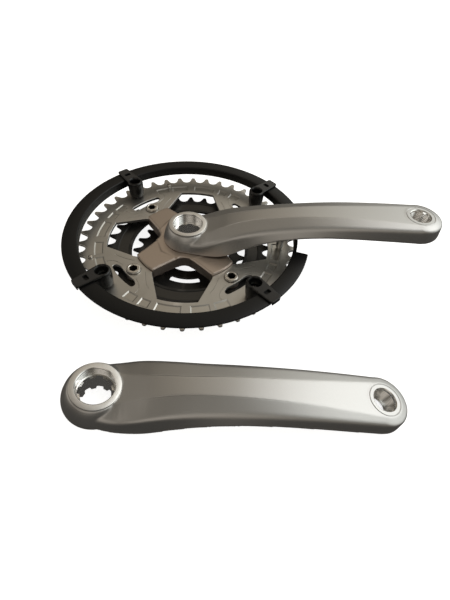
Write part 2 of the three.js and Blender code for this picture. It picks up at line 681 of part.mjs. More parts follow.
// Each bracket is a boss screwed to the ring with a finger snapped over the guard's flange.
function guardBracket() {
  const finger = GUARD_TOP + CLEARANCE;
  const reach = GUARD_OUTER_R + CLEARANCE;
  const half = FINGER_WIDTH / 2;
  const outline = new THREE.Shape();
  outline.moveTo(BRACKET_CIRCLE_R, -half);
  outline.lineTo(reach + FINGER_LIP_T - 1, -half + 0.2);
  outline.lineTo(reach + FINGER_LIP_T, -half + 1.2);
  outline.lineTo(reach + FINGER_LIP_T, half - 1.2);
  outline.lineTo(reach + FINGER_LIP_T - 1, half - 0.2);
  outline.lineTo(BRACKET_CIRCLE_R, half);
  const tongue = plate(outline, finger, BRACKET_TOP);
  const lip = block(reach, reach + FINGER_LIP_T, -half + 1.2, half - 1.2, GUARD_TOP - 1.8, BRACKET_TOP - 0.4);
  const boss = turned([
    [0, CLEARANCE],
    [BRACKET_BOSS_R - 0.7, CLEARANCE],
    [BRACKET_BOSS_R, BRACKET_TOP - 0.6],
    [BRACKET_BOSS_R - 0.5, BRACKET_TOP],
    [0, BRACKET_TOP],
  ], 16).translate([BRACKET_CIRCLE_R, 0, 0]);
  const slotMiddle = (GUARD_INNER_R + GUARD_OUTER_R) / 2 - 1;
  return union([boss, tongue, lip])
    .subtract(drum(BRACKET_RECESS_R, BRACKET_RECESS_FLOOR, 30, BRACKET_CIRCLE_R, 0, 16))
    .subtract(drum(GUARD_SCREW_R + CLEARANCE, -1, 30, BRACKET_CIRCLE_R, 0, 12))
    .subtract(block(slotMiddle - 1.4, slotMiddle + 1.4, -2.6, 2.6, finger - 1, BRACKET_TOP + 1));
}

function shiftPin() {
  return turned([
    [0, OUTER_RING_BOTTOM - 0.9],
    [PIN_R - CLEARANCE, OUTER_RING_BOTTOM - 0.9],
    [PIN_R - CLEARANCE, 0.1],
    [PIN_R - 0.8, 0.5],
    [0, 0.6],
  ], 10);
}

function dropPin() {
  const shank = DROP_PIN_R - 0.9 - CLEARANCE;
  return turned([
    [0, OUTER_RING_BOTTOM - 0.3],
    [shank, OUTER_RING_BOTTOM - 0.3],
    [shank, CLEARANCE],
    [DROP_PIN_R, CLEARANCE],
    [DROP_PIN_R, DROP_PIN_TOP - 0.8],
    [DROP_PIN_R - 0.8, DROP_PIN_TOP],
    [0, DROP_PIN_TOP],
  ], 14);
}

// ---------------------------------------------------------------- assembly

function piece(name, body, finish) {
  const mesh = new THREE.Mesh(toGeometry(body), new THREE.MeshStandardMaterial(finishes[finish]));
  mesh.name = name;
  return mesh;
}

const rightCrank = new THREE.Group();
rightCrank.position.z = -ASSEMBLY_BOTTOM;

const rightArmMesh = piece('right_crank_arm', rightArm(), 'armSilver');
rightArmMesh.position.z = RIM_ABOVE_RING;
rightCrank.add(rightArmMesh);
rightCrank.add(piece('spider', spider(), 'spiderBronze'));
rightCrank.add(piece('outer_chainring', outerRing(), 'ringSilver'));
rightCrank.add(piece('middle_chainring', middleRing(), 'ringBlack'));
rightCrank.add(piece('inner_chainring', innerRing(), 'ringBlack'));
rightCrank.add(piece('chain_guard', chainGuard(), 'guardBlack'));

armAngles().forEach((angle, i) => {
  const around = new THREE.Group();
  around.rotation.z = angle * RAD;
  const number = i + 1;
  const bolt = piece(`chainring_bolt_${number}`, chainringBolt(), 'boltBright');
  bolt.position.x = BOLT_CIRCLE_R;
  const nut = piece(`chainring_nut_${number}`, chainringNut(), 'boltBright');
  nut.position.x = BOLT_CIRCLE_R;
  const innerBolt = piece(`inner_ring_bolt_${number}`, innerRingBolt(), 'boltBright');
  innerBolt.position.x = INNER_BOLT_CIRCLE / 2;
  const bracket = piece(`guard_bracket_${number}`, guardBracket(), 'guardBlack');
  const screw = piece(`guard_screw_${number}`, guardScrew(), 'screwBright');
  screw.position.x = BRACKET_CIRCLE_R;
  around.add(bolt, nut, innerBolt, bracket, screw);
  rightCrank.add(around);
});

PIN_ANGLES.forEach((angle, i) => {
  const pin = piece(`shift_pin_${i + 1}`, shiftPin(), 'screwBright');
  const spot = polar(PIN_CIRCLE_R, angle);
  pin.position.set(spot.x, spot.y, 0);
  rightCrank.add(pin);
});

const drop = piece('chain_drop_pin', dropPin(), 'screwBright');
drop.position.x = DROP_PIN_CIRCLE_R;
rightCrank.add(drop);

// The left arm rests on the edge of its boss and on the far end of its pedal eye.
const eyeFoot = CRANK_LENGTH + SOLE_LINE[SOLE_LINE.length - 1][1];
const lean = Math.atan2(LEFT_BOSS_DEPTH + EYE_FACE_Z - EYE_THICKNESS, eyeFoot - BOSS_FOOT_R);
const leftCrank = new THREE.Group();
leftCrank.position.set(LEFT_ARM_X, LEFT_ARM_Y, 0);
leftCrank.rotation.z = LEFT_ARM_TURN_DEG * RAD;
const leftArmMesh = piece('left_crank_arm', leftArm(), 'armSilver');
leftArmMesh.rotation.y = lean;
leftArmMesh.position.z = LEFT_BOSS_DEPTH * Math.cos(lean) + BOSS_FOOT_R * Math.sin(lean);
leftCrank.add(leftArmMesh);

// Origin on the surface, under the middle of the whole layout.
const crankset = new THREE.Group();
crankset.add(rightCrank, leftCrank);
crankset.updateMatrixWorld(true);
const bounds = new THREE.Box3().setFromObject(crankset, true);
const middle = bounds.getCenter(new THREE.Vector3());
crankset.position.set(-middle.x, -middle.y, -bounds.min.z);

export default crankset;
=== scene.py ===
"""Bicycle crankset: right arm with spider, three chainrings and chain guard, and the loose left arm.

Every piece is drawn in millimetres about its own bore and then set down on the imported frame.
"""

import json
import logging
import math
from dataclasses import dataclass, replace
from enum import Enum
from typing import Sequence

import bmesh
import bpy
from mathutils import Matrix, Vector


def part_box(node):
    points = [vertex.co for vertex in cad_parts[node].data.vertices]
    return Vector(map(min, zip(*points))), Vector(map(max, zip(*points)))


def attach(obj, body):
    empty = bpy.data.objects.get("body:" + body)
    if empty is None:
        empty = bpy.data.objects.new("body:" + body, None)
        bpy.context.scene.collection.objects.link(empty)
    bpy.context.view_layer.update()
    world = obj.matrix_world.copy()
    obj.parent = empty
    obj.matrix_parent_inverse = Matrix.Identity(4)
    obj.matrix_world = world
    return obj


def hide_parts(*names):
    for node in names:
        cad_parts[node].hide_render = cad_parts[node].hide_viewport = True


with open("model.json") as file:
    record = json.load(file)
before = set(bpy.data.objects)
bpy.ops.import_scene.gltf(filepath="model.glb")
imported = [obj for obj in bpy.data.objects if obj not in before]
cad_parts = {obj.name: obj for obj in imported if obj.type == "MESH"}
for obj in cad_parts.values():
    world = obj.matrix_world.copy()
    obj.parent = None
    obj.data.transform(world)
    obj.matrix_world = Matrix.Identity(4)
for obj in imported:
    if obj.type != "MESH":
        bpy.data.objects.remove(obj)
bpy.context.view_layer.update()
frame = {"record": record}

LOG = logging.getLogger("crankset")

MM = 0.001
TAU = 2 * math.pi
UP = (0, 0, 1)
SAME_PLACE = 1e-4  # millimetres within which two points are one
FLAT = 0.9  # a face that points up or down more than this is flat
ARM_ANGLES = (45.0, 135.0, 225.0, 315.0)
PIN_ANGLES = (21, 111, 201, 291)
CHAIN_PITCH = 12.7
ROLLER_SEAT_R = 4.0
TOOTH_ADDENDUM = 2.95
BOLT_CIRCLE_R = 52.0
INNER_CIRCLE_R = 32.0
SCREW_CIRCLE_R = 75.37
PIN_CIRCLE_R = 77.17
DROP_PIN_CIRCLE_R = SCREW_CIRCLE_R - 1.9
NUT_HOLE_R = 5.2
RIM_R = 14.7
RIM_MOUNT_R = 12.9
EYE_MOUNT_R = 8.75
CRANK_LENGTH = 170.0
EYE_FACE_Z = 23.4

Point = tuple[float, float]
Loop = list[Point]
Corner = tuple[float, float, float]
Solid = bmesh.types.BMesh
Piece = bpy.types.Object
Tree = bpy.types.NodeTree
Node = bpy.types.Node
Socket = bpy.types.NodeSocket


class Body(Enum):
    """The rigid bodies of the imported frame."""

    RIGHT = "right_crank"
    LEFT = "left_arm"


class Slot(Enum):
    """The material slots of the record."""

    ARM = "arm_silver"
    SPIDER = "spider_bronze"
    RING = "ring_silver"
    DARK_RING = "ring_black"
    GUARD = "guard_black"
    BOLT = "bolt_bright"
    SCREW = "screw_bright"


# ---------------------------------------------------------------- places in the frame


def mount(name: str) -> tuple[Vector, Vector]:
    """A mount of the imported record.

    Args:
        name: The mount's name.

    Returns:
        Its point in metres and its axis.
    """
    found = next(m for m in frame["record"]["mounts"] if m["name"] == name)
    return Vector(found["pos_m"]), Vector(found["axis"])


def bore_datum(height: float) -> Matrix:
    """The bore axis of the right crank at a height in metres, scaled from millimetres."""
    low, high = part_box("spider")
    return Matrix.Translation(((low.x + high.x) / 2, (low.y + high.y) / 2, height)) @ Matrix.Scale(MM, 4)


def ring_datum() -> Matrix:
    """The bore axis at the outer chainring's outer face."""
    return bore_datum(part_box("outer_chainring")[1].z)


def right_arm_datum() -> Matrix:
    """The bore axis at the right arm's rim."""
    return bore_datum(mount("right_bore_rim")[0].z)


def left_arm_datum() -> Matrix:
    """The left arm's own axes at its rim, from its two outer mounts.

    Returns:
        The place, scaled from millimetres.
    """
    rim, normal = mount("left_bore_rim")
    eye, _ = mount("left_pedal_face")
    span = eye - rim - normal * EYE_FACE_Z * MM
    off_line = math.atan2(EYE_MOUNT_R, CRANK_LENGTH + RIM_MOUNT_R)
    along = Matrix.Rotation(-off_line, 3, normal) @ span.normalized()
    across = normal.cross(along)
    centre = rim + along * RIM_MOUNT_R * MM
    axes = Matrix((along, across, normal)).transposed().to_4x4()
    return Matrix.Translation(centre) @ axes @ Matrix.Scale(MM, 4)


# ---------------------------------------------------------------- bench tools


def polar(radius: float, degrees: float) -> Point:
    """A point at a radius and an angle."""
    turn = math.radians(degrees)
    return radius * math.cos(turn), radius * math.sin(turn)


def arc(radius: float, start: float, end: float, steps: int) -> Loop:
    """Points along an arc about the axis, ends included."""
    return [polar(radius, start + (end - start) * i / steps) for i in range(steps + 1)]


def rounded(corners: Sequence[Corner], steps: int = 5) -> Loop:
    """A closed outline with each corner rounded.

    Args:
        corners: x, y and radius of each corner in order.
        steps: Segments in each rounding.

    Returns:
        The outline's points.
    """
    loop: Loop = []
    for i, (x, y, radius) in enumerate(corners):
        if radius <= 0:
            loop.append((x, y))
            continue
        here = Vector((x, y))
        before = (Vector(corners[i - 1][:2]) - here).normalized()
        after = (Vector(corners[(i + 1) % len(corners)][:2]) - here).normalized()
        half = math.acos(max(-1.0, min(1.0, before.dot(after)))) / 2
        reach = radius / math.tan(half)
        middle = here + (before + after).normalized() * radius / math.sin(half)
        start, end = here + before * reach - middle, here + after * reach - middle
        sweep = start.angle_signed(end)
        for k in range(steps + 1):
            spot = Matrix.Rotation(-sweep * k / steps, 2) @ start + middle
            loop.append((spot.x, spot.y))
    return loop


def circle(radius: float, x: float = 0, y: float = 0, steps: int = 40) -> Loop:
    """A round outline about a point."""
    return [(x + px, y + py) for px, py in arc(radius, 0, 360, steps)[:-1]]


def turned_by(loop: Loop, degrees: float) -> Loop:
    """An outline turned about the axis."""
    turn = Matrix.Rotation(math.radians(degrees), 2)
    return [tuple(turn @ Vector(p)) for p in loop]


def lathe(profile: Loop, segments: int = 64, ring: bool = False) -> Solid:
    """A turned solid about Z.

    Args:
        profile: Radius and height of each point.
        segments: Steps round the axis.
        ring: True for a closed section that doesn't reach the axis.

    Returns:
        The solid's mesh.
    """
    bm = bmesh.new()
    verts = [bm.verts.new((r, 0.0, z)) for r, z in profile]
    pairs = list(zip(verts, verts[1:])) + ([(verts[-1], verts[0])] if ring else [])
    edges = [bm.edges.new(pair) for pair in pairs]
    bmesh.ops.spin(bm, geom=verts + edges, cent=(0, 0, 0), axis=(0, 0, 1), dvec=(0, 0, 0), angle=TAU,
                   steps=segments, use_merge=True, use_normal_flip=False, use_duplicate=False)
    bmesh.ops.remove_doubles(bm, verts=bm.verts, dist=SAME_PLACE)
    bmesh.ops.recalc_face_normals(bm, faces=bm.faces)
    return bm


def rod(radius: float, low: float, high: float, sides: int = 40) -> Solid:
    """A round bar about Z."""
    return lathe([(0, low), (radius, low), (radius, high), (0, high)], sides)


def sleeve(inner: float, outer: float, low: float, high: float, sides: int) -> Solid:
    """A round tube about Z."""
    return lathe([(inner, low), (outer, low), (outer, high), (inner, high)], sides, ring=True)


@dataclass(frozen=True)
class Sunk:
    """Areas sunk into a plate's upper face, with the plate's second finish."""

    loops: Sequence[Sequence[Point]]
    depth: float
    slope: float


def plate(outer: Loop, top: float, thickness: float, chamfer: float, holes: Sequence[Loop] = (),
          sunk: Sequence[Sunk] = ()) -> Solid:
    """A flat plate with chamfered edges, holes and sunk areas on its upper face.

    Args:
        outer: The outline.
        top: Height of the upper face.
        thickness: Full thickness.
        chamfer: Width and depth of the edge chamfer.
        holes: Outlines cut right through.
        sunk: The sunk areas.

    Returns:
        The plate's mesh.
    """
    bm = bmesh.new()

    def draw(loop: Sequence[Point]) -> list[bmesh.types.BMEdge]:
        """Draws one outline."""
        verts = [bm.verts.new((x, y, 0.0)) for x, y in loop]
        return [bm.edges.new(pair) for pair in zip(verts, verts[1:] + verts[:1])]

    for loop in (outer, *holes):
        draw(loop)
    borders = [[draw(loop) for loop in kind.loops] for kind in sunk]
    fill = {"use_beauty": True, "use_dissolve": False, "normal": UP}
    bmesh.ops.triangle_fill(bm, edges=bm.edges[:], **fill)
    level = bm.faces.layers.int.new("level")
    for number, outlines in enumerate(borders, 1):
        for edges in outlines:
            for item in bmesh.ops.triangle_fill(bm, edges=edges, **fill)["geom"]:
                if isinstance(item, bmesh.types.BMFace):
                    item[level] = number
    bmesh.ops.recalc_face_normals(bm, faces=bm.faces)
    if sum(f.normal.z * f.calc_area() for f in bm.faces) < 0:
        bmesh.ops.reverse_faces(bm, faces=bm.faces)
    bmesh.ops.solidify(bm, geom=bm.faces[:], thickness=thickness - 2 * chamfer)
    bmesh.ops.recalc_face_normals(bm, faces=bm.faces)
    heights = [v.co.z for v in bm.verts]
    middle = (min(heights) + max(heights)) / 2
    bmesh.ops.translate(bm, verts=bm.verts, vec=(0, 0, top - thickness / 2 - middle))
    for side in (1, -1):
        flat = [f for f in bm.faces if f.normal.z * side > FLAT]
        bmesh.ops.inset_region(bm, faces=flat, thickness=chamfer, depth=chamfer, use_boundary=True,
                               use_even_offset=True)
    for number, kind in enumerate(sunk, 1):
        floor = [f for f in bm.faces if f[level] == number and f.normal.z > FLAT]
        bmesh.ops.inset_region(bm, faces=floor, thickness=kind.slope, depth=-kind.depth,
                               use_boundary=True, use_even_offset=True)
        for face in floor:
            face.material_index = 1
    return bm


def strip(path: Sequence[Point], width: float) -> Loop:
    """The outline of a thin line of even width along a path.

    Args:
        path: Points along its middle.
        width: Its width.

    Returns:
        The outline's points.
    """
    left, right = [], []
    last = len(path) - 1
    for i, point in enumerate(path):
        run = (Vector(path[min(i + 1, last)]) - Vector(path[max(i - 1, 0)])).normalized()
        off = Vector((-run.y, run.x)) * width / 2
        left.append(tuple(Vector(point) + off))
        right.append(tuple(Vector(point) - off))
    return left + right[::-1]


def loft(stations: Sequence[Sequence[Corner]]) -> Solid:
    """A solid drawn through a row of sections with the same corners.

    Args:
        stations: The corners of each section, in order round it.

    Returns:
        The solid's mesh. The vertex layer "corner" numbers the corners.
    """
    bm = bmesh.new()
    corner = bm.verts.layers.int.new("corner")
    made = bmesh.ops.create_circle(bm, cap_ends=False, segments=len(stations[0]), radius=1.0)["verts"]
    for i, vert in enumerate(made):
        vert[corner] = i
        vert.co = stations[0][i]
    front = bm.edges[:]
    bmesh.ops.edgeloop_fill(bm, edges=front)
    for station in stations[1:]:
        grown = bmesh.ops.extrude_edge_only(bm, edges=front)["geom"]
        fresh = {item for item in grown if isinstance(item, bmesh.types.BMVert)}
        for vert in fresh:
            vert.co = station[vert[corner]]
        front = [e for e in bm.edges if e.verts[0] in fresh and e.verts[1] in fresh]
    bmesh.ops.edgeloop_fill(bm, edges=front)
    bmesh.ops.recalc_face_normals(bm, faces=bm.faces)
    return bm


def along(table: Sequence[tuple[float, ...]], x: float) -> list[float]:
    """Reads a table of stations at x on a smooth curve.

    Args:
        table: Rows that start with x and go up in it.
        x: Where to read it.

    Returns:
        The row's other values there.
    """
    last = len(table) - 1
    i = max(0, min(last - 1, sum(1 for row in table if row[0] <= x) - 1))
    rows = [table[max(0, min(last, i + k))] for k in (-1, 0, 1, 2)]
    span = rows[2][0] - rows[1][0]
    t = (x - rows[1][0]) / span
    values = []
    for k in range(1, len(table[0])):
        slopes = [
            (b[k] - a[k]) / (b[0] - a[0]) * span if b[0] > a[0] else rows[2][k] - rows[1][k]
            for a, b in ((rows[0], rows[2]), (rows[1], rows[3]))
        ]
        values.append(
            (2 * t**3 - 3 * t**2 + 1) * rows[1][k]
            + (t**3 - 2 * t**2 + t) * slopes[0]
            + (3 * t**2 - 2 * t**3) * rows[2][k]
            + (t**3 - t**2) * slopes[1]
        )
    return values


def section(table: Sequence[tuple[float, ...]], x: float) -> list[Corner]:
    """A section at x that is alike on both sides.

    Args:
        table: Rows of x, then the half-width and height of each corner.
        x: Where it stands.

    Returns:
        Its corners, in order round it.
    """
    row = along(table, x)
    half = list(zip(row[::2], row[1::2]))
    return [(x, -w, z) for w, z in half] + [(x, w, z) for w, z in half[::-1]]


def block(x: float, y: float, z: float) -> Solid:
    """A rectangular block about the origin."""
    bm = bmesh.new()
    bmesh.ops.create_cube(bm, size=1.0, matrix=Matrix.Diagonal((x, y, z, 1.0)))
    return bm


def bench_object(bm: Solid, name: str = "blank") -> Piece:
    """A mesh put on the bench as an object, for modifiers to work on.

    Args:
        bm: The mesh, used up.
        name: The object's name.

    Returns:
        The object.
    """
    mesh = bpy.data.meshes.new(name)
    bm.to_mesh(mesh)
    bm.free()
    obj = bpy.data.objects.new(name, mesh)
    bpy.context.scene.collection.objects.link(obj)
    return obj


def off_bench(obj: Piece) -> None:
    """Clears an object and its mesh away."""
    mesh = obj.data
    bpy.data.objects.remove(obj)
    bpy.data.meshes.remove(mesh)


def worked(bm: Solid, *steps: tuple[str, dict[str, object]]) -> Solid:
    """Runs modifiers over a mesh.

    Args:
        bm: The mesh, used up.
        steps: The type and the settings of each modifier.

    Returns:
        The finished mesh.
    """
    blank = bench_object(bm)
    for kind, settings in steps:
        modifier = blank.modifiers.new(kind, kind)
        for name, value in settings.items():
            setattr(modifier, name, value)
    bpy.context.view_layer.update()
    graph = bpy.context.evaluated_depsgraph_get()
    result = bpy.data.meshes.new_from_object(blank.evaluated_get(graph))
    out = bmesh.new()
    out.from_mesh(result)
    bpy.data.meshes.remove(result)
    off_bench(blank)
    return out


def forged(bm: Solid, grain: float, passes: int) -> Solid:
    """Welds overlapping solids into one skin with softened edges, as a forging has.

    Args:
        bm: The overlapping solids, used up.
        grain: Cell size of the new skin in millimetres.
        passes: How many times its corners are eased.

    Returns:
        The welded mesh.
    """
    skin = worked(bm, ("REMESH", {"mode": "VOXEL", "voxel_size": grain, "adaptivity": 0.0}))
    for _ in range(passes):
        bmesh.ops.smooth_vert(skin, verts=skin.verts, factor=0.5, use_axis_x=True, use_axis_y=True,
                              use_axis_z=True)
    return skin


class Cut(Enum):
    """What a tool does to a piece."""

    AWAY = "DIFFERENCE"
    ON = "UNION"


def machined(bm: Solid, jobs: Sequence[tuple[Cut, Solid]]) -> Solid:
    """Cuts tools away from a piece or adds them to it, one after another.

    Args:
        bm: The piece, used up.
        jobs: What each tool does, and the tool, used up.

    Returns:
        The machined piece.
    """
    tools = [bench_object(tool, "tool") for _, tool in jobs]
    out = worked(bm, *(("BOOLEAN", {"operation": job.value, "solver": "MANIFOLD", "object": tool})
                       for (job, _), tool in zip(jobs, tools)))
    for tool in tools:
        off_bench(tool)
    return out


def cut(bm: Solid, *tools: Solid) -> Solid:
    """Cuts tools away from a piece, using them all up."""
    return machined(bm, [(Cut.AWAY, tool) for tool in tools])


def join(*parts: Solid) -> Solid:
    """Puts several meshes into one.

    Args:
        parts: The meshes, used up.

    Returns:
        The one mesh.
    """
    out = bmesh.new()
    for part in parts:
        mesh = bpy.data.meshes.new("part")
        part.to_mesh(mesh)
        part.free()
        out.from_mesh(mesh)
        bpy.data.meshes.remove(mesh)
    return out


def placed(bm: Solid, x: float = 0, y: float = 0, z: float = 0, turn: float = 0) -> Solid:
    """Moves a mesh, then turns it about the Z axis by some degrees."""
    matrix = Matrix.Rotation(math.radians(turn), 4, "Z") @ Matrix.Translation((x, y, z))
    bmesh.ops.transform(bm, matrix=matrix, verts=bm.verts)
    return bm


def put_down(bm: Solid, name: str, nodes: Sequence[str], finishes: Sequence["Finish"],
             crease: float = 32.0, body: Body = Body.RIGHT, datum: Matrix | None = None) -> None:
    """Makes a finished piece of a mesh in millimetres.

    Args:
        bm: The mesh, used up.
        name: The piece's name.
        nodes: The CAD nodes it stands for.
        finishes: One finish for each material number of the mesh.
        crease: Edges sharper than this many degrees stay crisp.
        body: The body it rides on.
        datum: Where it goes, or None for the rings' own place.
    """
    datum = ring_datum() if datum is None else datum
    bmesh.ops.transform(bm, matrix=datum, verts=bm.verts)
    mesh = bpy.data.meshes.new(name)
    bm.to_mesh(mesh)
    bm.free()
    mesh.shade_smooth()
    mesh.set_sharp_from_angle(angle=math.radians(crease))
    for finish in finishes:
        mesh.materials.append(finish.material())
    obj = bpy.data.objects.new(name, mesh)
    bpy.context.scene.collection.objects.link(obj)
    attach(obj, body.value)
    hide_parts(*nodes)
    LOG.info("%s: %d faces", name, len(mesh.polygons))


# ---------------------------------------------------------------- finishes


def feed(node: Node, inputs: dict[str | int, object]) -> Node:
    """Sets a node's inputs.

    Args:
        node: The node.
        inputs: A value, an output or a signal for each input, by its name or number.

    Returns:
        The same node.
    """
    for name, value in inputs.items():
        value = value.socket if isinstance(value, Signal) else value
        if isinstance(value, Socket):
            node.id_data.links.new(value, node.inputs[name])
        else:
            node.inputs[name].default_value = value
    return node


def add_node(tree: Tree, kind: str, inputs: dict[str | int, object], **settings: object) -> Node:
    """Adds a shader node.

    Args:
        tree: Where it goes.
        kind: Its type, without the word ShaderNode.
        inputs: What feed takes.
        settings: Its own settings.

    Returns:
        The node.
    """
    node = tree.nodes.new("ShaderNode" + kind)
    for name, value in settings.items():
        setattr(node, name, value)
    return feed(node, inputs)


@dataclass(frozen=True)
class Signal:
    """A node's output that joins others by plus, minus and times, through Math nodes."""

    socket: Socket

    def math(self, operation: str, other: "Signal | float" = 0.0) -> "Signal":
        """What a Math node makes of this signal and another."""
        node = add_node(self.socket.id_data, "Math", {0: self, 1: other}, operation=operation)
        return Signal(node.outputs[0])

    def __add__(self, other: "Signal | float") -> "Signal":
        """The sum."""
        return self.math("ADD", other)

    def __sub__(self, other: "Signal | float") -> "Signal":
        """The difference."""
        return self.math("SUBTRACT", other)

    def __mul__(self, other: "Signal | float") -> "Signal":
        """The product."""
        return self.math("MULTIPLY", other)


Signals = dict[str, Signal]


def noise(tree: Tree, scale: Signal, detail: float) -> Signal:
    """Noise over the object at a scale."""
    place = tree.nodes.new("ShaderNodeTexCoord").outputs["Object"]
    node = add_node(tree, "TexNoise", {"Vector": place, "Scale": scale, "Detail": detail})
    return Signal(node.outputs["Fac"])


@dataclass(frozen=True)
class Effect:
    """A shared effect of the finishes, kept as one node group of plain numbers."""

    name: str
    inputs: tuple[str, ...]
    outputs: tuple[str, ...]

    def group(self) -> Tree:
        """The node group, built the first time it is asked for.

        Returns:
            Its node tree.
        """
        tree = bpy.data.node_groups.get(self.name)
        if tree is None:
            tree = bpy.data.node_groups.new(self.name, "ShaderNodeTree")
            for side, names in (("INPUT", self.inputs), ("OUTPUT", self.outputs)):
                for name in names:
                    tree.interface.new_socket(name=name, in_out=side, socket_type="NodeSocketFloat")
            entry = tree.nodes.new("NodeGroupInput")
            given = {name: Signal(entry.outputs[name]) for name in self.inputs}
            feed(tree.nodes.new("NodeGroupOutput"), self.signals(tree, given))
        return tree

    def signals(self, tree: Tree, given: Signals) -> Signals:
        """Wires the group. Each effect has its own way.

        Args:
            tree: The group's node tree.
            given: Its inputs by name.

        Returns:
            Its outputs by name.
        """
        raise NotImplementedError

    def used(self, tree: Tree, *values: float) -> Signals:
        """Puts the effect in a material.

        Args:
            tree: The material's node tree.
            values: A value for each input, in order.

        Returns:
            Its outputs by name.
        """
        node = add_node(tree, "Group", {}, node_tree=self.group())
        feed(node, dict(zip(self.inputs, values)))
        return {name: Signal(node.outputs[name]) for name in self.outputs}


class GrainEffect(Effect):
    """Fine blasted or moulded grain, as a height and as a speckle mask."""

    def signals(self, tree: Tree, given: Signals) -> Signals:
        """Two sizes of noise, one on the other."""
        fine = noise(tree, given["Scale"], 2.0)
        coarse = noise(tree, given["Scale"] * 0.31, 2.0)
        return {"Height": fine + coarse * given["Coarse"], "Speckle": (fine - 0.5) * 2.0}


class WearAndSheenEffect(Effect):
    """A mask that is bright on pointed outer edges, broken up by noise: partly rubbed-edge wear, partly a
    painted edge highlight.
    """

    def signals(self, tree: Tree, given: Signals) -> Signals:
        """Pointed edges, scaled and broken up.

        Args:
            tree: The group's node tree.
            given: Gain and Scale.

        Returns:
            The mask.
        """
        pointed = Signal(tree.nodes.new("ShaderNodeNewGeometry").outputs["Pointiness"])
        rise = (pointed - 0.52) * given["Gain"]
        broken = rise * (noise(tree, given["Scale"], 4.0) + 0.35)
        return {"Mask": broken.math("MAXIMUM", 0.0).math("MINIMUM", 1.0)}


class HandlingEffect(Effect):
    """Slow cloudy changes from handling, as a value about zero."""

    def signals(self, tree: Tree, given: Signals) -> Signals:
        """Large soft noise."""
        return {"Cloud": (noise(tree, given["Scale"], 5.0) - 0.5) * given["Amount"]}


class TurningEffect(Effect):
    """Concentric tool marks about an axis through Offset X and Offset Y."""

    def signals(self, tree: Tree, given: Signals) -> Signals:
        """The radius, turned into fine rings.

        Args:
            tree: The group's node tree.
            given: The axis and how many rings there are.

        Returns:
            The rings, as a wave.
        """
        place = tree.nodes.new("ShaderNodeTexCoord").outputs["Object"]
        split = add_node(tree, "SeparateXYZ", {0: place})
        dx, dy = (Signal(split.outputs[axis]) - given[f"Offset {axis}"] for axis in "XY")
        radius = (dx * dx + dy * dy).math("SQRT")
        return {"Rings": (radius * given["Rings"]).math("SINE")}


GRAIN = GrainEffect("Blasted grain", ("Scale", "Coarse"), ("Height", "Speckle"))
WEAR_AND_SHEEN = WearAndSheenEffect("Rubbed edges and painted sheen", ("Gain", "Scale"), ("Mask",))
HANDLING = HandlingEffect("Handling clouds", ("Scale", "Amount"), ("Cloud",))
TURNING = TurningEffect("Turning marks", ("Offset X", "Offset Y", "Rings"), ("Rings",))

COARSE_GRAIN = 0.6  # share of the coarse noise in the grain
# Size of the noise that breaks up the edge wear and the painted edge highlight.
WEAR_AND_SHEEN_CLUMPS = 170.0
BUMP_HEIGHT = 0.0001  # metres


@dataclass(frozen=True)
class Finish:
    """One surface finish of the crankset."""

    name: str
    colour: tuple[float, float, float]
    # The lighter colour and roughness change on pointed edges are partly rubbed wear and partly a painted
    # edge highlight.
    worn_and_highlit: tuple[float, float, float]
    metallic: float
    roughness: float
    grain_scale: float = 2200.0
    grain_depth: float = 0.2
    grain_colour: float = 0.05
    wear_and_sheen_gain: float = 5.0
    wear_and_sheen_roughness: float = -0.1
    cloud_scale: float = 22.0
    cloud_amount: float = 0.25
    specular: float = 0.5
    rings: float = 0.0
    ring_depth: float = 0.0
    ring_axis: tuple[float, float] = (0.0, 0.0)

    def material(self) -> bpy.types.Material:
        """The finish's material, built the first time it is asked for.

        Returns:
            The material.
        """
        made = bpy.data.materials.get(self.name)
        if made is not None:
            return made
        made = bpy.data.materials.new(self.name)
        made.use_nodes = True
        tree = made.node_tree
        grain = GRAIN.used(tree, self.grain_scale, COARSE_GRAIN)
        # Pointed edges take the lighter colour: partly wear, partly a painted edge highlight.
        wear_and_sheen = WEAR_AND_SHEEN.used(tree, self.wear_and_sheen_gain, WEAR_AND_SHEEN_CLUMPS)["Mask"]
        cloud = HANDLING.used(tree, self.cloud_scale, self.cloud_amount)["Cloud"]
        height = grain["Height"]
        if self.rings:
            height = height + TURNING.used(tree, *self.ring_axis, self.rings)["Rings"] * self.ring_depth
        mix = add_node(tree, "Mix", {"A": (*self.colour, 1.0), "B": (*self.worn_and_highlit, 1.0), "Factor": wear_and_sheen},
                       data_type="RGBA")
        tone = grain["Speckle"] * self.grain_colour + cloud * 0.5 + 1.0
        shade = add_node(tree, "VectorMath", {0: mix.outputs["Result"], "Scale": tone}, operation="SCALE")
        relief = {"Strength": self.grain_depth, "Distance": BUMP_HEIGHT, "Height": height}
        bump = add_node(tree, "Bump", relief)
        feed(tree.nodes["Principled BSDF"], {
            "Metallic": self.metallic,
            "Specular IOR Level": self.specular,
            "Base Color": shade.outputs[0],
            "Roughness": wear_and_sheen * self.wear_and_sheen_roughness + cloud * 0.35 + self.roughness,
            "Normal": bump.outputs["Normal"],
        })
        return made


ARM_SATIN = Finish("Arm satin silver", (0.60, 0.59, 0.575), (0.74, 0.735, 0.725), 1.0, 0.42,
                   wear_and_sheen_gain=1.5, cloud_amount=0.12)
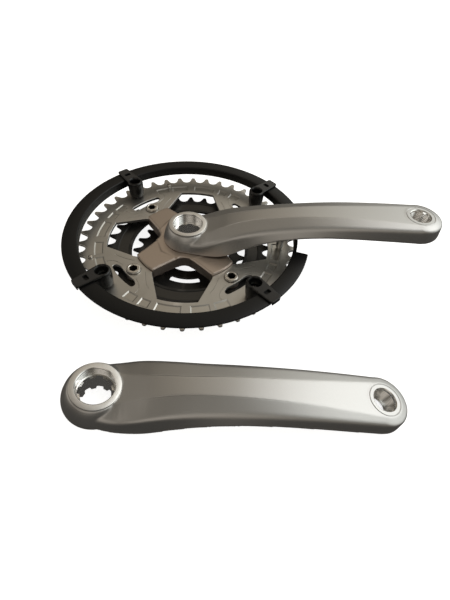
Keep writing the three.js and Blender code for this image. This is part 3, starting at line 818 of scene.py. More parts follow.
# The spider's warm base colour is partly its own bronze tone and partly a painted reflection of the warm
# room.
SPIDER_TINT_AND_REFLECTION = Finish("Spider warm tint and painted reflection", (0.62, 0.53, 0.46), (0.80, 0.74, 0.68), 1.0, 0.38,
                      wear_and_sheen_gain=6.0, cloud_amount=0.16)
RING_STEEL = Finish("Ring blasted steel", (0.56, 0.545, 0.51), (0.80, 0.79, 0.77), 1.0, 0.40,
                    grain_depth=0.3, wear_and_sheen_gain=7.0, cloud_scale=35.0)
RING_PANEL = Finish("Ring sunk panel", (0.60, 0.585, 0.545), (0.82, 0.81, 0.79), 1.0, 0.36,
                    grain_depth=0.18, cloud_amount=0.22, cloud_scale=45.0)
BLACK_STEEL = Finish("Black ring steel", (0.014, 0.0135, 0.013), (0.08, 0.078, 0.075), 0.3, 0.42,
                     grain_depth=0.25, wear_and_sheen_gain=6.0, cloud_amount=0.3, cloud_scale=40.0)
# Grey steel for the middle ring's sunk bands: partly a satin finish, partly a painted highlight stripe.
GREY_STEEL_AND_HIGHLIGHT = Finish("Grey satin steel and painted highlight", (0.085, 0.084, 0.081), (0.22, 0.22, 0.215), 1.0, 0.38,
                    cloud_amount=0.3, cloud_scale=40.0)
GUARD_PLASTIC = Finish("Guard moulded plastic", (0.0045, 0.0045, 0.0046), (0.022, 0.022, 0.023), 0.0, 0.42,
                       grain_scale=1400.0, grain_depth=0.3, cloud_amount=0.3, wear_and_sheen_roughness=-0.06,
                       specular=0.35)
CLIP_PLASTIC = Finish("Clip moulded plastic", (0.004, 0.004, 0.004), (0.022, 0.022, 0.023), 0.0, 0.30,
                      grain_scale=1700.0, grain_depth=0.15, cloud_amount=0.3)
BRIGHT_PLATE = Finish("Bright plated steel", (0.74, 0.71, 0.665), (0.88, 0.87, 0.85), 1.0, 0.27,
                      grain_depth=0.1, wear_and_sheen_gain=4.0, cloud_amount=0.2, cloud_scale=90.0)
ZINC_PLATE = Finish("Zinc plated steel", (0.68, 0.68, 0.66), (0.82, 0.82, 0.80), 1.0, 0.30,
                    grain_depth=0.15, wear_and_sheen_gain=4.0, cloud_amount=0.2, cloud_scale=120.0)
# Painted shade: the key sockets get a near-black colour that stands for the shade down inside the hex recess.
SOCKET_PAINTED_SHADE = Finish("Key socket painted shade", (0.03, 0.028, 0.025), (0.06, 0.056, 0.05), 0.6, 0.5,
                     grain_depth=0.1, wear_and_sheen_gain=2.0, cloud_amount=0.2, cloud_scale=120.0)
BORE_BRIGHT = Finish("Machined bore", (0.95, 0.94, 0.92), (0.98, 0.97, 0.96), 1.0, 0.18,
                     grain_depth=0.06, wear_and_sheen_gain=2.0, cloud_amount=0.15, cloud_scale=120.0)
RIGHT_RIM = Finish("Right rim facing", (0.92, 0.90, 0.87), (0.96, 0.95, 0.93), 1.0, 0.46, wear_and_sheen_gain=3.0,
                   rings=14000.0, ring_depth=0.4, ring_axis=tuple(ring_datum().translation[:2]))
LEFT_RIM = replace(RIGHT_RIM, name="Left rim facing", ring_axis=tuple(left_arm_datum().translation[:2]))


# ---------------------------------------------------------------- crank arms


@dataclass
class CrankArm:
    """A forged crank arm with a splined bore and a threaded pedal hole."""

    name: str
    body: Body
    datum: Matrix
    rim_finish: Finish
    boss_depth: float = 24.0
    boss_foot_r: float = 15.2
    boss_r: float = 19.8
    extractor_r: float = 11.05
    extractor_depth: float = 9.0
    spline_major_r: float = 10.6
    spline_minor_r: float = 9.1
    splines: int = 8
    pedal_r: float = 7.14
    eye_groove_r: float = 10.1
    eye_thickness: float = 14.0
    grain: float = 0.55
    crease_depth: float = 0.62
    crease_span: tuple = (17.5, 134.0, 40)
    # x, then half-width and height of the crest, the edge, the waist and the sole
    blade_rows: tuple = (
        (0, 9.0, -2.2, 17.0, -6.5, 19.4, -14.0, 15.5, -18.0),
        (12, 9.0, -1.2, 19.3, -4.8, 21.0, -14.4, 16.0, -18.2),
        (22, 8.0, 2.6, 19.8, -0.6, 21.3, -13.8, 16.0, -17.6),
        (32, 6.8, 7.2, 19.0, 3.5, 21.2, -11.0, 15.8, -14.6),
        (45, 5.8, 11.6, 17.6, 7.7, 20.8, -3.6, 15.5, -7.0),
        (60, 5.5, 15.2, 16.4, 11.2, 20.1, 3.0, 15.5, -0.2),
        (80, 5.9, 18.7, 15.7, 15.0, 19.4, 8.4, 15.4, 5.6),
        (100, 6.4, 20.9, 15.7, 17.9, 18.8, 11.0, 15.2, 8.4),
        (120, 7.2, 22.2, 15.9, 19.8, 18.3, 11.9, 15.0, 9.3),
        (145, 9.0, 23.0, 16.0, 21.2, 17.8, 12.1, 14.8, 9.5),
        (170, 11.0, 23.4, 15.9, 22.0, 17.3, 12.1, 14.6, 9.4),
    )
    blade_steps: int = 56

    def blade(self) -> Solid:
        """The blade from bore to pedal hole, its long edges rounded.

        Returns:
            Its mesh.
        """
        count = self.blade_steps
        bm = loft([section(self.blade_rows, CRANK_LENGTH * i / count) for i in range(count + 1)])
        corner = bm.verts.layers.int["corner"]
        for corners, offset in (((1, 6), 2.0), ((3, 4), 1.6)):
            edges = [e for e in bm.edges
                     if e.verts[0][corner] == e.verts[1][corner] and e.verts[0][corner] in corners]
            bmesh.ops.bevel(bm, geom=edges, offset=offset, offset_type="OFFSET", segments=3, profile=0.5,
                            affect="EDGES", material=-1, clamp_overlap=True)
        return bm

    def eye(self) -> Solid:
        """The round end that holds the pedal.

        Returns:
            Its mesh.
        """
        sole = EYE_FACE_Z - self.eye_thickness
        profile = rounded([(0, sole, 0), (14.6, sole, 1.6), (17.3, 12.1, 2.4), (15.9, 22.0, 2.2),
                           (11.0, EYE_FACE_Z, 0), (0, EYE_FACE_Z, 0)], 4)
        return placed(lathe(profile, 72), x=CRANK_LENGTH)

    def crease(self, side: int) -> Solid:
        """A V tool that runs along one crest of the blade and rises out of it towards the pedal.

        Args:
            side: 1 or -1, for the two crests.

        Returns:
            The tool's mesh.
        """
        start, end, steps = self.crease_span
        stations = []
        for i in range(steps + 1):
            x = start + (end - start) * i / steps
            width, height = along(self.blade_rows, x)[:2]
            share = i / steps
            depth = self.crease_depth * min(1.0, share * 6) * (1 - share) ** 0.6 - 0.12 * share
            y, reach = side * (width + 0.25), depth + 1.2
            stations.append([(x, y - reach * 0.8, height + 1.2), (x, y, height - depth),
                             (x, y + reach * 0.8, height + 1.2)])
        return loft(stations)

    def boss_profile(self) -> Loop:
        """The boss's outline below the rim."""
        foot, depth = self.boss_foot_r, -self.boss_depth
        return [(0, depth), (foot, depth), (foot + 0.8, depth + 0.8), (self.boss_r - 0.2, -16.8),
                (self.boss_r, -14.6), *self.dome()]

    def dome(self) -> Loop:
        """The boss's outline from its widest part to the rim."""
        r = self.boss_r
        return [(r - 0.4, -11.6), (r - 1.2, -8.8), (r - 2.1, -6.0), (r - 3.2, -3.6),
                (RIM_R + 0.5, -1.4), (RIM_R - 0.2, -1.2), (0, -1.2)]

    def skin(self) -> Solid:
        """Blade, eye and boss as one forging, before machining."""
        return forged(join(self.blade(), self.eye(), lathe(self.boss_profile(), 96)), self.grain, 5)

    def rim_tools(self) -> list[tuple[Cut, Solid]]:
        """The relief round the rim and the rim itself.

        Returns:
            What each tool does, and the tool.
        """
        r = RIM_R
        relief = lathe([(0, -1.2), (r + 0.35, -1.2), (r + 0.9, -0.6), (r + 0.9, 30), (0, 30)], 96)
        rim = lathe([(0, -4), (r, -4), (r, -0.45), (r - 0.15, -0.15), (r - 0.45, 0), (0, 0)], 96)
        return [(Cut.AWAY, relief), (Cut.ON, rim)]

    def spline_tool(self) -> Solid:
        """The splined hole right through the boss.

        Returns:
            The tool's mesh.
        """
        pitch = 360 / self.splines
        loop: Loop = []
        for k in range(self.splines):
            middle = k * pitch
            loop += arc(self.spline_major_r, middle - pitch * 0.24, middle + pitch * 0.24, 3)
            loop += arc(self.spline_minor_r, middle + pitch * 0.32, middle + pitch * 0.68, 3)
        return plate(loop, 1 - self.extractor_depth, self.boss_depth + 3 - self.extractor_depth, 0.05)

    def thread(self, radius: float, top: float, bottom: float, pitch: float, depth: float,
               mouth: float) -> Solid:
        """A threaded hole's tool: fine ridges below a countersunk mouth.

        Args:
            radius: Minor radius of the thread.
            top: Height of the upper mouth.
            bottom: Height of the lower end.
            pitch: From one ridge to the next.
            depth: Depth of the grooves.
            mouth: Size of the upper countersink.

        Returns:
            The tool's mesh.
        """
        profile = [(0.0, bottom), (radius, bottom)]
        level = bottom + pitch
        while level + pitch < top - mouth:
            ridge = level + pitch * 0.35
            profile += [(radius, level), (radius + depth, ridge), (radius, level + pitch * 0.7)]
            level += pitch
        profile += [(radius, top - mouth), (radius + mouth, top), (radius + mouth, top + 4), (0.0, top + 4)]
        return lathe(profile, 80)

    def bore_tools(self) -> list[Solid]:
        """Everything cut into the boss and the eye.

        Returns:
            The tools.
        """
        face, pedal, groove = EYE_FACE_Z, self.pedal_r, self.eye_groove_r
        sole = face - self.eye_thickness
        at_eye = (
            self.thread(pedal, face, sole - 3, 1.27, 0.4, 0.6),
            lathe([(0, sole - 3), (pedal + 1.2, sole - 3), (pedal, sole + 0.7), (0, sole + 0.7)], 64),
            lathe([(groove - 0.3, face - 0.3), (groove, face - 0.42), (groove + 0.3, face - 0.3),
                   (groove + 0.3, face + 1), (groove - 0.3, face + 1)], 80, ring=True),
        )
        mouth = self.thread(self.extractor_r, 0.0, -self.extractor_depth, 1.0, 0.35, 0.5)
        return [self.crease(1), self.crease(-1), self.spline_tool(), mouth,
                *(placed(tool, x=CRANK_LENGTH) for tool in at_eye)]

    def mark_machined(self, bm: Solid) -> None:
        """Gives the bore, the pedal hole and the rim's face their own finishes.

        Args:
            bm: The machined arm.
        """
        for face in bm.faces:
            bore = max(math.hypot(v.co.x, v.co.y) for v in face.verts)
            eye = max(math.hypot(v.co.x - CRANK_LENGTH, v.co.y) for v in face.verts)
            low = min(v.co.z for v in face.verts)
            face.material_index = 0
            if bore < self.extractor_r + 0.6 or eye < self.pedal_r + 0.62:
                face.material_index = 1
            elif bore < RIM_R + 0.1 and low > -1.3:
                face.material_index = 2

    def build(self) -> None:
        """Makes the arm."""
        jobs = self.rim_tools() + [(Cut.AWAY, tool) for tool in self.bore_tools()]
        bm = machined(self.skin(), jobs)
        self.mark_machined(bm)
        put_down(bm, f"{self.name}_forging", [self.name], (ARM_SATIN, BORE_BRIGHT, self.rim_finish),
                 body=self.body, datum=self.datum)


@dataclass
class SpiderArm(CrankArm):
    """The right arm, whose boss sits in the spider."""

    boss_depth: float = 30.0
    spigot_r: float = 15.5
    shoulder: float = -13.3

    def boss_profile(self) -> Loop:
        """The boss's outline: a dome on the spider, and a spigot through it."""
        r, depth = self.spigot_r, -self.boss_depth
        return [(0, depth), (r - 0.8, depth), (r, depth + 0.8), (r, self.shoulder),
                (self.boss_r, self.shoulder), *self.dome()]

    def skin(self) -> Solid:
        """The forging, cut flat where it sits on the spider."""
        ring = sleeve(self.spigot_r - 0.05, 80, self.shoulder - 45, self.shoulder + 0.1, 96)
        return cut(super().skin(), ring)


# ---------------------------------------------------------------- chainrings


@dataclass
class Chainring:
    """A toothed ring bolted to the spider."""

    node: str
    teeth: int
    top: float
    thickness: float
    finish: Finish
    panel_finish: Finish
    slot: Slot
    tip_taper: float = 0.45

    @property
    def pitch_r(self) -> float:
        """Pitch radius for the chain."""
        return CHAIN_PITCH / (2 * math.sin(math.pi / self.teeth))

    @property
    def tip_r(self) -> float:
        """Radius over the tooth tips."""
        return self.pitch_r + TOOTH_ADDENDUM

    def tooth(self) -> Loop:
        """One tooth from the floor of one roller seat to the next, about angle 0.

        Returns:
            Its outline.
        """
        half = 180 / self.teeth
        seat = Vector(polar(self.pitch_r, -half))
        rise = [seat + Vector(polar(ROLLER_SEAT_R, 180 - half - swing)) for swing in (0, 16, 32, 46, 58)]
        tip = math.degrees(0.95 / self.tip_r)
        rise += [Vector(polar(self.tip_r - 0.4, -tip * 1.35)), Vector(polar(self.tip_r, -tip * 0.6))]
        fall = [Vector((p.x, -p.y)) for p in reversed(rise)]
        return [tuple(p) for p in rise + fall[:-1]]

    def outline(self) -> Loop:
        """All the teeth in a row."""
        step = 360 / self.teeth
        return [p for k in range(self.teeth) for p in turned_by(self.tooth(), 90 + (k + 0.5) * step)]

    def openings(self) -> list[Loop]:
        """What is cut right through the ring. Each ring has its own."""
        return []

    def sunk(self) -> list[Sunk]:
        """Areas sunk into its outer face."""
        return []

    def thin_teeth(self, bm: Solid) -> None:
        """Thins the teeth towards their tips on both faces.

        Args:
            bm: The ring's mesh.
        """
        middle = self.top - self.thickness / 2
        start = self.pitch_r - ROLLER_SEAT_R + 1.0
        for vert in bm.verts:
            radius = math.hypot(vert.co.x, vert.co.y)
            if radius > start:
                share = min(1.0, (radius - start) / (self.tip_r - start))
                vert.co.z = middle + (vert.co.z - middle) * (1 - self.tip_taper * share)

    def build(self) -> None:
        """Makes the ring."""
        bm = plate(self.outline(), self.top, self.thickness, 0.2, self.openings(), self.sunk())
        self.thin_teeth(bm)
        finishes = (self.finish, self.panel_finish)
        put_down(bm, f"{self.node}_plate", [self.node], finishes, 28)


@dataclass
class OuterChainring(Chainring):
    """The large ring, with four tabs, four windows, kidney slots and sunk panels."""

    shoulder_r: float = 43.7
    window_r: float = 64.5
    window_half: float = 14.5
    tab_half: float = 15.5
    kidney_outer_r: float = 64.0
    kidney_inner_r: float = 58.2
    kidney_half: float = 12.5
    bolt_hole_r: float = 5.45
    screw_hole_r: float = 2.2
    pin_hole_r: float = 1.9
    drop_pin_hole_r: float = 1.95
    panel_outer_r: float = 74.4
    panel_inner_r: float = 67.4
    # first and last degree of each panel, from the middle of its window
    panel_rows: tuple = ((-12, 3), (8, 19.5), (22, 31), (-32, -24.5), (-22, -15.5))
    # radius and degrees from the tab of each point, and the line's width
    pressed_lines: tuple = (
        (((56.4, 8.6), (57.4, 11.6), (59.2, 14.6), (61.6, 16.8), (64.4, 17.6), (66.9, 17.4)), 0.62),
        (((47.0, 9.2), (49.6, 12.4), (52.6, 15.6), (55.6, 19.0), (58.6, 22.6)), 0.5),
    )

    def tabbed_opening(self) -> Loop:
        """The middle opening that leaves four tabs.

        Returns:
            Its outline.
        """
        window, shoulder, half, tab_half = self.window_r, self.shoulder_r, self.window_half, self.tab_half
        loop: Loop = []
        for tab in ARM_ANGLES:
            before, after = tab - 45, tab + 45
            loop += arc(window, before - half + 4.5, before + half - 4.5, 8)
            loop += [polar(window, before + half - 1.5), polar(window - 4.5, before + half + 1.2),
                     polar(shoulder + 2.0, tab - tab_half)]
            loop += arc(shoulder, tab - tab_half + 1.8, tab + tab_half - 1.8, 12)
            loop += [polar(shoulder + 2.0, tab + tab_half), polar(window - 4.5, after - half - 1.2),
                     polar(window, after - half + 1.5)]
        return loop

    def kidney(self, angle: float) -> Loop:
        """A curved slot outside a bolt, with rounded ends.

        Args:
            angle: The bolt's angle in degrees.

        Returns:
            The slot's outline.
        """
        half, low, high = self.kidney_half, self.kidney_inner_r, self.kidney_outer_r
        end = [polar(high - 0.3, half - 0.7), polar(high - 1.2, half - 0.1), polar(high - 2.6, half + 0.1),
               polar(high - 3.8, half - 0.5), polar(low + 1.1, half - 1.6), polar(low + 0.3, half - 2.9)]
        far = [(x, -y) for x, y in end[::-1]]
        loop = arc(high, -half + 1.8, half - 1.8, 16) + end + arc(low, half - 4.4, -half + 4.4, 14) + far
        return turned_by(loop, angle)

    def openings(self) -> list[Loop]:
        """The middle opening, the slots and every hole.

        Returns:
            Their outlines.
        """
        loops = [self.tabbed_opening()]
        for angle in ARM_ANGLES:
            loops += [self.kidney(angle), circle(self.bolt_hole_r, *polar(BOLT_CIRCLE_R, angle)),
                      circle(self.screw_hole_r, *polar(SCREW_CIRCLE_R, angle), 20)]
        loops += [circle(self.pin_hole_r, *polar(PIN_CIRCLE_R, angle), 20) for angle in PIN_ANGLES]
        return loops + [circle(self.drop_pin_hole_r, *polar(DROP_PIN_CIRCLE_R, 0), 20)]

    def sunk(self) -> list[Sunk]:
        """Sunk panels round each window and the fine pressed lines on the tabs.

        Returns:
            The panels and the lines.
        """
        panels, lines = [], []
        for tab in ARM_ANGLES:
            for start, end in self.panel_rows:
                a, b = tab - 45 + start, tab - 45 + end
                panels.append(arc(self.panel_outer_r, a, b, 8) + arc(self.panel_inner_r, b, a, 8))
            for side in (1, -1):
                for points, width in self.pressed_lines:
                    lines.append(strip([polar(r, tab + side * d) for r, d in points], width))
        return [Sunk(panels, 0.55, 0.95), Sunk(lines, 0.3, 0.2)]


@dataclass
class MiddleChainring(Chainring):
    """The middle ring, with four bolt tabs and a sunk band between each pair, lighter than the ring: partly
    satin steel, partly a painted highlight.
    """

    opening_r: float = 46.4
    tab_r: float = 7.6
    band_outer_r: float = 57.4
    band_inner_r: float = 48.4
    band_half: float = 28.0

    def openings(self) -> list[Loop]:
        """The middle opening with its four tabs, and the bolt holes.

        Returns:
            Their outlines.
        """
        loop: Loop = []
        for angle in ARM_ANGLES:
            x, y = polar(BOLT_CIRCLE_R, angle)
            loop += [(x + px, y + py) for px, py in arc(self.tab_r, angle - 132, angle - 228, 12)]
            loop += arc(self.opening_r, angle + 9.5, angle + 80.5, 24)
        return [loop] + [circle(NUT_HOLE_R, *polar(BOLT_CIRCLE_R, angle)) for angle in ARM_ANGLES]

    def sunk(self) -> list[Sunk]:
        """The four sunk bands, in grey steel that is partly a satin finish and partly a painted highlight."""
        middles = [angle - 45 for angle in ARM_ANGLES]
        spans = [(middle - self.band_half, middle + self.band_half) for middle in middles]
        bands = [arc(self.band_outer_r, a, b, 24) + arc(self.band_inner_r, b, a, 24) for a, b in spans]
        return [Sunk(bands, 0.35, 0.6)]


@dataclass
class InnerChainring(Chainring):
    """The small ring on its own bolts."""

    opening_r: float = 20.3
    bolt_hole_r: float = 4.1
    slot_inner_r: float = 28.2
    slot_outer_r: float = 33.2
    slot_half: float = 23.0

    def openings(self) -> list[Loop]:
        """The middle opening, the bolt holes and the curved slots between them.

        Returns:
            Their outlines.
        """
        low, high, half = self.slot_inner_r, self.slot_outer_r, self.slot_half
        loops = [circle(self.opening_r, steps=72)]
        for angle in ARM_ANGLES:
            start, end = angle + 45 - half, angle + 45 + half
            slot = arc(high, start + 1.2, end - 1.2, 20) + [polar(low + 1.2, end)]
            slot += arc(low, end - 1.8, start + 1.8, 20) + [polar(low + 1.2, start)]
            loops += [circle(self.bolt_hole_r, *polar(INNER_CIRCLE_R, angle)), slot]
        return loops


# ---------------------------------------------------------------- spider


@dataclass
class Spider:
    """The four-armed spider that carries the rings."""

    hub_r: float = 21.0
    spigot_hole_r: float = 15.75
    shoulder_r: float = 43.4
    top: float = 3.0
    bottom: float = -7.6
    seat_top: float = -2.7
    tab_end_r: float = 58.0
    post_r: float = 6.4
    post_hole_r: float = 4.1
    post_bottom: float = -15.3
    fillet_centre_r: float = 31.0
    fillet_r: float = 7.8
    grain: float = 0.42

    def raised_arm(self) -> Solid:
        """One bevelled arm from the hub to the rings' tabs.

        Returns:
            Its mesh.
        """
        low = self.bottom
        # x, then half-width and height of the flat, the bevel, the wall and the foot
        rows = (
            (6, 12.8, 3.0, 14.2, 1.9, 14.6, low + 1, 13.6, low),
            (18, 12.6, 3.0, 14.0, 1.9, 14.4, low + 1, 13.4, low),
            (32, 10.8, 2.1, 12.1, 1.0, 12.4, low + 1, 11.4, low),
            (46, 9.1, 1.2, 10.4, 0.1, 10.9, low + 1, 9.9, low),
        )
        start, span, steps = rows[0][0], rows[-1][0] - rows[0][0], 20
        blank = loft([section(rows, start + span * i / steps) for i in range(steps + 1)])
        return cut(blank, sleeve(self.shoulder_r, 90, -40, 20, 160))

    def tab(self) -> Solid:
        """The flange that the ring tabs are bolted to."""
        nose = [(BOLT_CIRCLE_R + x, y) for x, y in arc(self.tab_end_r - BOLT_CIRCLE_R, -75, 75, 14)]
        loop = [(30, -10.4), (BOLT_CIRCLE_R - 3, -8.6), *nose, (BOLT_CIRCLE_R - 3, 8.6), (30, 10.4)]
        return plate(loop, self.seat_top, self.seat_top - self.bottom, 0.3)

    def web(self) -> Solid:
        """The metal that rounds the inner corner between each pair of arms.

        Returns:
            Its mesh.
        """
        loop: Loop = []
        for angle in ARM_ANGLES:
            x, y = polar(self.fillet_centre_r, angle + 45)
            loop += [polar(27, angle)]
            loop += [(x + px, y + py) for px, py in arc(self.fillet_r, angle - 90, angle - 180, 14)]
        top = self.top - 0.08
        return plate(loop, top, top - self.bottom, 0.8)

    def hub(self) -> Solid:
        """The round middle."""
        r, low, top = self.hub_r, self.bottom, self.top
        return lathe([(0, low), (r - 0.6, low), (r, low + 0.6), (r, top - 1.2), (r - 1.2, top), (0, top)], 96)

    def build(self) -> None:
        """Makes the spider."""
        parts, drills, low = [self.hub(), self.web()], [], self.post_bottom
        for angle in ARM_ANGLES:
            parts += [placed(self.raised_arm(), turn=angle), placed(self.tab(), turn=angle),
                      placed(rod(self.post_r, low, self.bottom + 1), x=INNER_CIRCLE_R, turn=angle)]
            drills += [placed(rod(NUT_HOLE_R, self.bottom - 2, 1), x=BOLT_CIRCLE_R, turn=angle),
                       placed(rod(self.post_hole_r, -18, low + 7.5, 32), x=INNER_CIRCLE_R, turn=angle)]
        bore = rod(self.spigot_hole_r, -30, 20, 96)
        bm = cut(forged(join(*parts), self.grain, 2), bore, *drills)
        # The spider's warm finish carries a painted warm reflection in its base colour.
        put_down(bm, "spider_forging", ["spider"], (SPIDER_TINT_AND_REFLECTION,))


# ---------------------------------------------------------------- chain guard


@dataclass
class ChainGuard:
    """The black guard ring over the teeth, on four screwed clips."""

    outer_r: float = 94.82
    inner_r: float = 83.32
    top: float = 12.9
    flange: float = 1.7
    wall: float = 2.2
    wall_bottom: float = 5.4
    notch_half: float = 12.4
    clip_top: float = 14.6
    finger_width: float = 10.4

    def ring(self) -> None:
        """The guard ring, its flange cut away beneath the crank arm."""
        inner, outer, low, top = self.inner_r, self.outer_r, self.wall_bottom, self.top
        wall, under = inner + self.wall, top - self.flange
        profile = [
            (inner + 0.5, low + 0.3), (inner + 0.8, low), (wall - 0.3, low), (wall, low + 0.3),
            (wall, under - 0.6), (wall + 0.6, under), (outer - 0.3, under), (outer, under + 0.3),
            (outer, top - 0.75), (outer - 0.25, top - 0.3), (outer - 1.0, top), (inner + 1.1, top),
            (inner + 0.45, top - 0.18), (inner + 0.1, top - 0.6), (inner, top - 1.1),
        ]
        half = self.notch_half
        notch = arc(110, -half, half, 12) + arc(wall + 0.4, half, -half, 12)
        bm = cut(lathe(profile, 240, ring=True), plate(notch, top + 3, self.flange + 4.2, 0.02))
        put_down(bm, "guard_ring", ["chain_guard"], (GUARD_PLASTIC,), 35)

    def bar(self, start: Point, end: Point, corner: float, top: float, thickness: float,
            chamfer: float) -> Solid:
        """A flat bar of the clip that points outward.

        Args:
            start: Distance from the bore axis and half-width where it begins.
            end: The same where it ends.
            corner: Radius of its outer corners.
            top: Height of its upper face.
            thickness: Its thickness.
            chamfer: Its edge chamfer.

        Returns:
            The bar's mesh.
        """
        (near, wide), (far, narrow) = start, end
        outline = rounded([(near, -wide, 0), (far, -narrow, corner), (far, narrow, corner), (near, wide, 0)])
        return plate(outline, top, thickness, chamfer)

    def clip(self, number: int, angle: float) -> None:
        """One clip: a screw boss with a finger snapped over the guard.

        Args:
            number: Which clip.
            angle: Where it stands, in degrees.
        """
        reach, half, root, top = self.outer_r + 0.25, self.finger_width / 2, SCREW_CIRCLE_R, self.clip_top
        finger = self.bar((root, half + 0.7), (reach + 1.0, half - 0.5), 1.7, top, 1.4, 0.25)
        lip = self.bar((reach, half - 1.4), (reach + 1.0, half - 1.4), 0.4, top - 0.5, 3.0, 0.1)
        rib = self.bar((root + 3, 1.4), (self.inner_r - 0.8, 1.4), 0.4, top - 1, 9.5, 0.1)
        boss = lathe([(0, 0.3), (5.2, 0.3), (5.7, 0.6), (6.2, 4.0), (6.55, 9.5), (6.55, 12.4), (6.35, 13.7),
                      (5.8, 14.4), (5.1, 14.6), (0, 14.6)], 56)
        skin = forged(join(finger, lip, placed(boss, x=root), rib), 0.28, 4)
        middle = (self.inner_r + self.outer_r) / 2 - 2.0
        slot = plate(rounded([(middle - 1.6, -2.6, 0.9), (middle + 1.6, -2.6, 0.9), (middle + 1.6, 2.6, 0.9),
                              (middle - 1.6, 2.6, 0.9)], 3), 20, 6.9, 0.02)
        recess = lathe([(0, 5.2), (3.8, 5.2), (4.0, 12.6), (4.5, 14.0), (5.1, 14.75), (5.1, 20), (0, 20)], 48)
        bm = cut(skin, slot, placed(recess, x=root), placed(rod(2.2, -1, 8, 32), x=root))
        put_down(placed(bm, turn=angle), f"guard_clip_{number}", [f"guard_bracket_{number}"],
                 (CLIP_PLASTIC,))

    def build(self) -> None:
        """Makes the ring and its clips."""
        self.ring()
        for number, angle in enumerate(ARM_ANGLES, 1):
            self.clip(number, angle)


# ---------------------------------------------------------------- fasteners


@dataclass
class Fasteners:
    """Bolts, nuts, screws and pins of the right crank."""

    bolt_r: float = 3.8
    nut_r: float = 4.9
    head_r: float = 5.3
    head_top: float = 0.9
    head_seat: float = -0.6
    middle_bottom: float = -9.9
    inner_bottom: float = -17.6
    post_bottom: float = -15.3
    key_corner_r: float = 3.35
    key_depth: float = 4.5
    small_key_corner_r: float = 2.9

    def ring_bolt(self) -> Solid:
        """A chainring bolt with a dished head, its socket in the second finish, painted dark for the shade in
        the recess.

        Returns:
            Its mesh.
        """
        top, seat, r, head, foot = self.head_top, self.head_seat, self.bolt_r, self.head_r, self.middle_bottom
        body = lathe([(0, foot + 0.6), (r - 0.3, foot + 0.6), (r, foot + 0.9), (r, seat), (head - 0.15, seat),
                      (head, seat + 0.15), (head, top - 0.65), (head - 0.25, top - 0.2), (head - 0.8, top),
                      (3.9, top), (3.6, top - 0.25), (0, top - 0.3)], 56)
        bolt = cut(body, plate(circle(self.key_corner_r, steps=6), top + 0.8, 6, 0.02))
        # Faces down in the hex socket take the second material, which paints the shade of the recess.
        for face in bolt.faces:
            spot = face.calc_center_median()
            in_shaded_socket = math.hypot(spot.x, spot.y) < self.key_corner_r + 0.01
            face.material_index = int(in_shaded_socket and -self.key_depth < spot.z < top - 0.4)
        return bolt

    def ring_nut(self) -> Solid:
        """The sleeve nut behind the middle ring, with its key slot.

        Returns:
            Its mesh.
        """
        inner, foot, sleeve = self.bolt_r + 0.3, self.middle_bottom - 0.3, self.nut_r
        body = lathe([(inner + 0.2, foot - 1.4), (5.9, foot - 1.4), (6.3, foot - 1.1), (6.4, foot - 0.8),
                      (6.4, foot), (sleeve, foot), (sleeve, -1.5), (inner, -1.5), (inner, foot - 1.2)],
                     48, ring=True)
        return cut(body, placed(block(16, 1.6, 1.6), z=foot - 1.5))

    def inner_bolt(self) -> Solid:
        """The short bolt that holds the small ring from behind.

        Returns:
            Its mesh.
        """
        seat, end, r = self.inner_bottom - 0.3, self.post_bottom + 7.0, self.bolt_r
        foot = seat - 2.2
        body = lathe([(0, foot), (4.6, foot), (5.25, foot + 0.25), (5.5, foot + 0.8), (5.5, seat), (r, seat),
                      (r, self.post_bottom + 6.3), (r - 0.5, end), (0, end)], 48)
        return cut(body, plate(circle(self.small_key_corner_r, steps=6), foot + 2.6, 4.0, 0.02))

    def clip_screw(self) -> Solid:
        """The cross-head screw down in a clip.

        Returns:
            Its mesh.
        """
        seat = 5.5
        body = lathe([(0, -3.2), (1.5, -3.2), (1.9, -2.8), (1.9, seat), (3.3, seat), (3.5, seat + 0.3),
                      (3.5, seat + 1.3), (3.1, seat + 2.0), (2.2, seat + 2.4), (0, seat + 2.5)], 40)
        return cut(body, *(placed(block(4.0, 0.9, 3.0), z=seat + 2.7, turn=turn) for turn in (0, 90)))

    def shift_pin(self) -> Solid:
        """A pin pressed through the large ring near its teeth."""
        return lathe([(0, -3.3), (1.4, -3.3), (1.6, -3.1), (1.6, 0.1), (1.5, 0.35), (1.0, 0.55),
                      (0, 0.6)], 28)

    def drop_pin(self) -> Solid:
        """The stub behind the arm that keeps the chain out."""
        return lathe([(0, -2.7), (1.6, -2.7), (1.6, 0.3), (2.6, 0.3), (2.8, 0.5), (2.8, 6.6), (2.6, 7.2),
                      (2.1, 7.5), (0, 7.5)], 40)

    def build(self) -> None:
        """Makes every fastener."""
        # The second finish paints the shade inside the ring bolts' key sockets.
        plated, zinc = (BRIGHT_PLATE, SOCKET_PAINTED_SHADE), (ZINC_PLATE, SOCKET_PAINTED_SHADE)
        rows = (
            ("chainring_bolt", self.ring_bolt, BOLT_CIRCLE_R, ARM_ANGLES, plated, Slot.BOLT),
            ("chainring_nut", self.ring_nut, BOLT_CIRCLE_R, ARM_ANGLES, plated, Slot.BOLT),
            ("inner_ring_bolt", self.inner_bolt, INNER_CIRCLE_R, ARM_ANGLES, plated, Slot.BOLT),
            ("guard_screw", self.clip_screw, SCREW_CIRCLE_R, ARM_ANGLES, zinc, Slot.SCREW),
            ("shift_pin", self.shift_pin, PIN_CIRCLE_R, PIN_ANGLES, (BRIGHT_PLATE,), Slot.SCREW),
        )
        for stem, draw, radius, angles, finishes, slot in rows:
            for number, angle in enumerate(angles, 1):
                bm = placed(draw(), x=radius, turn=angle)
                put_down(bm, f"{stem}_{number}_turned", [f"{stem}_{number}"], finishes)
        stub = placed(self.drop_pin(), x=DROP_PIN_CIRCLE_R)
        put_down(stub, "chain_drop_pin_turned", ["chain_drop_pin"], (ZINC_PLATE,))


# ---------------------------------------------------------------- studio


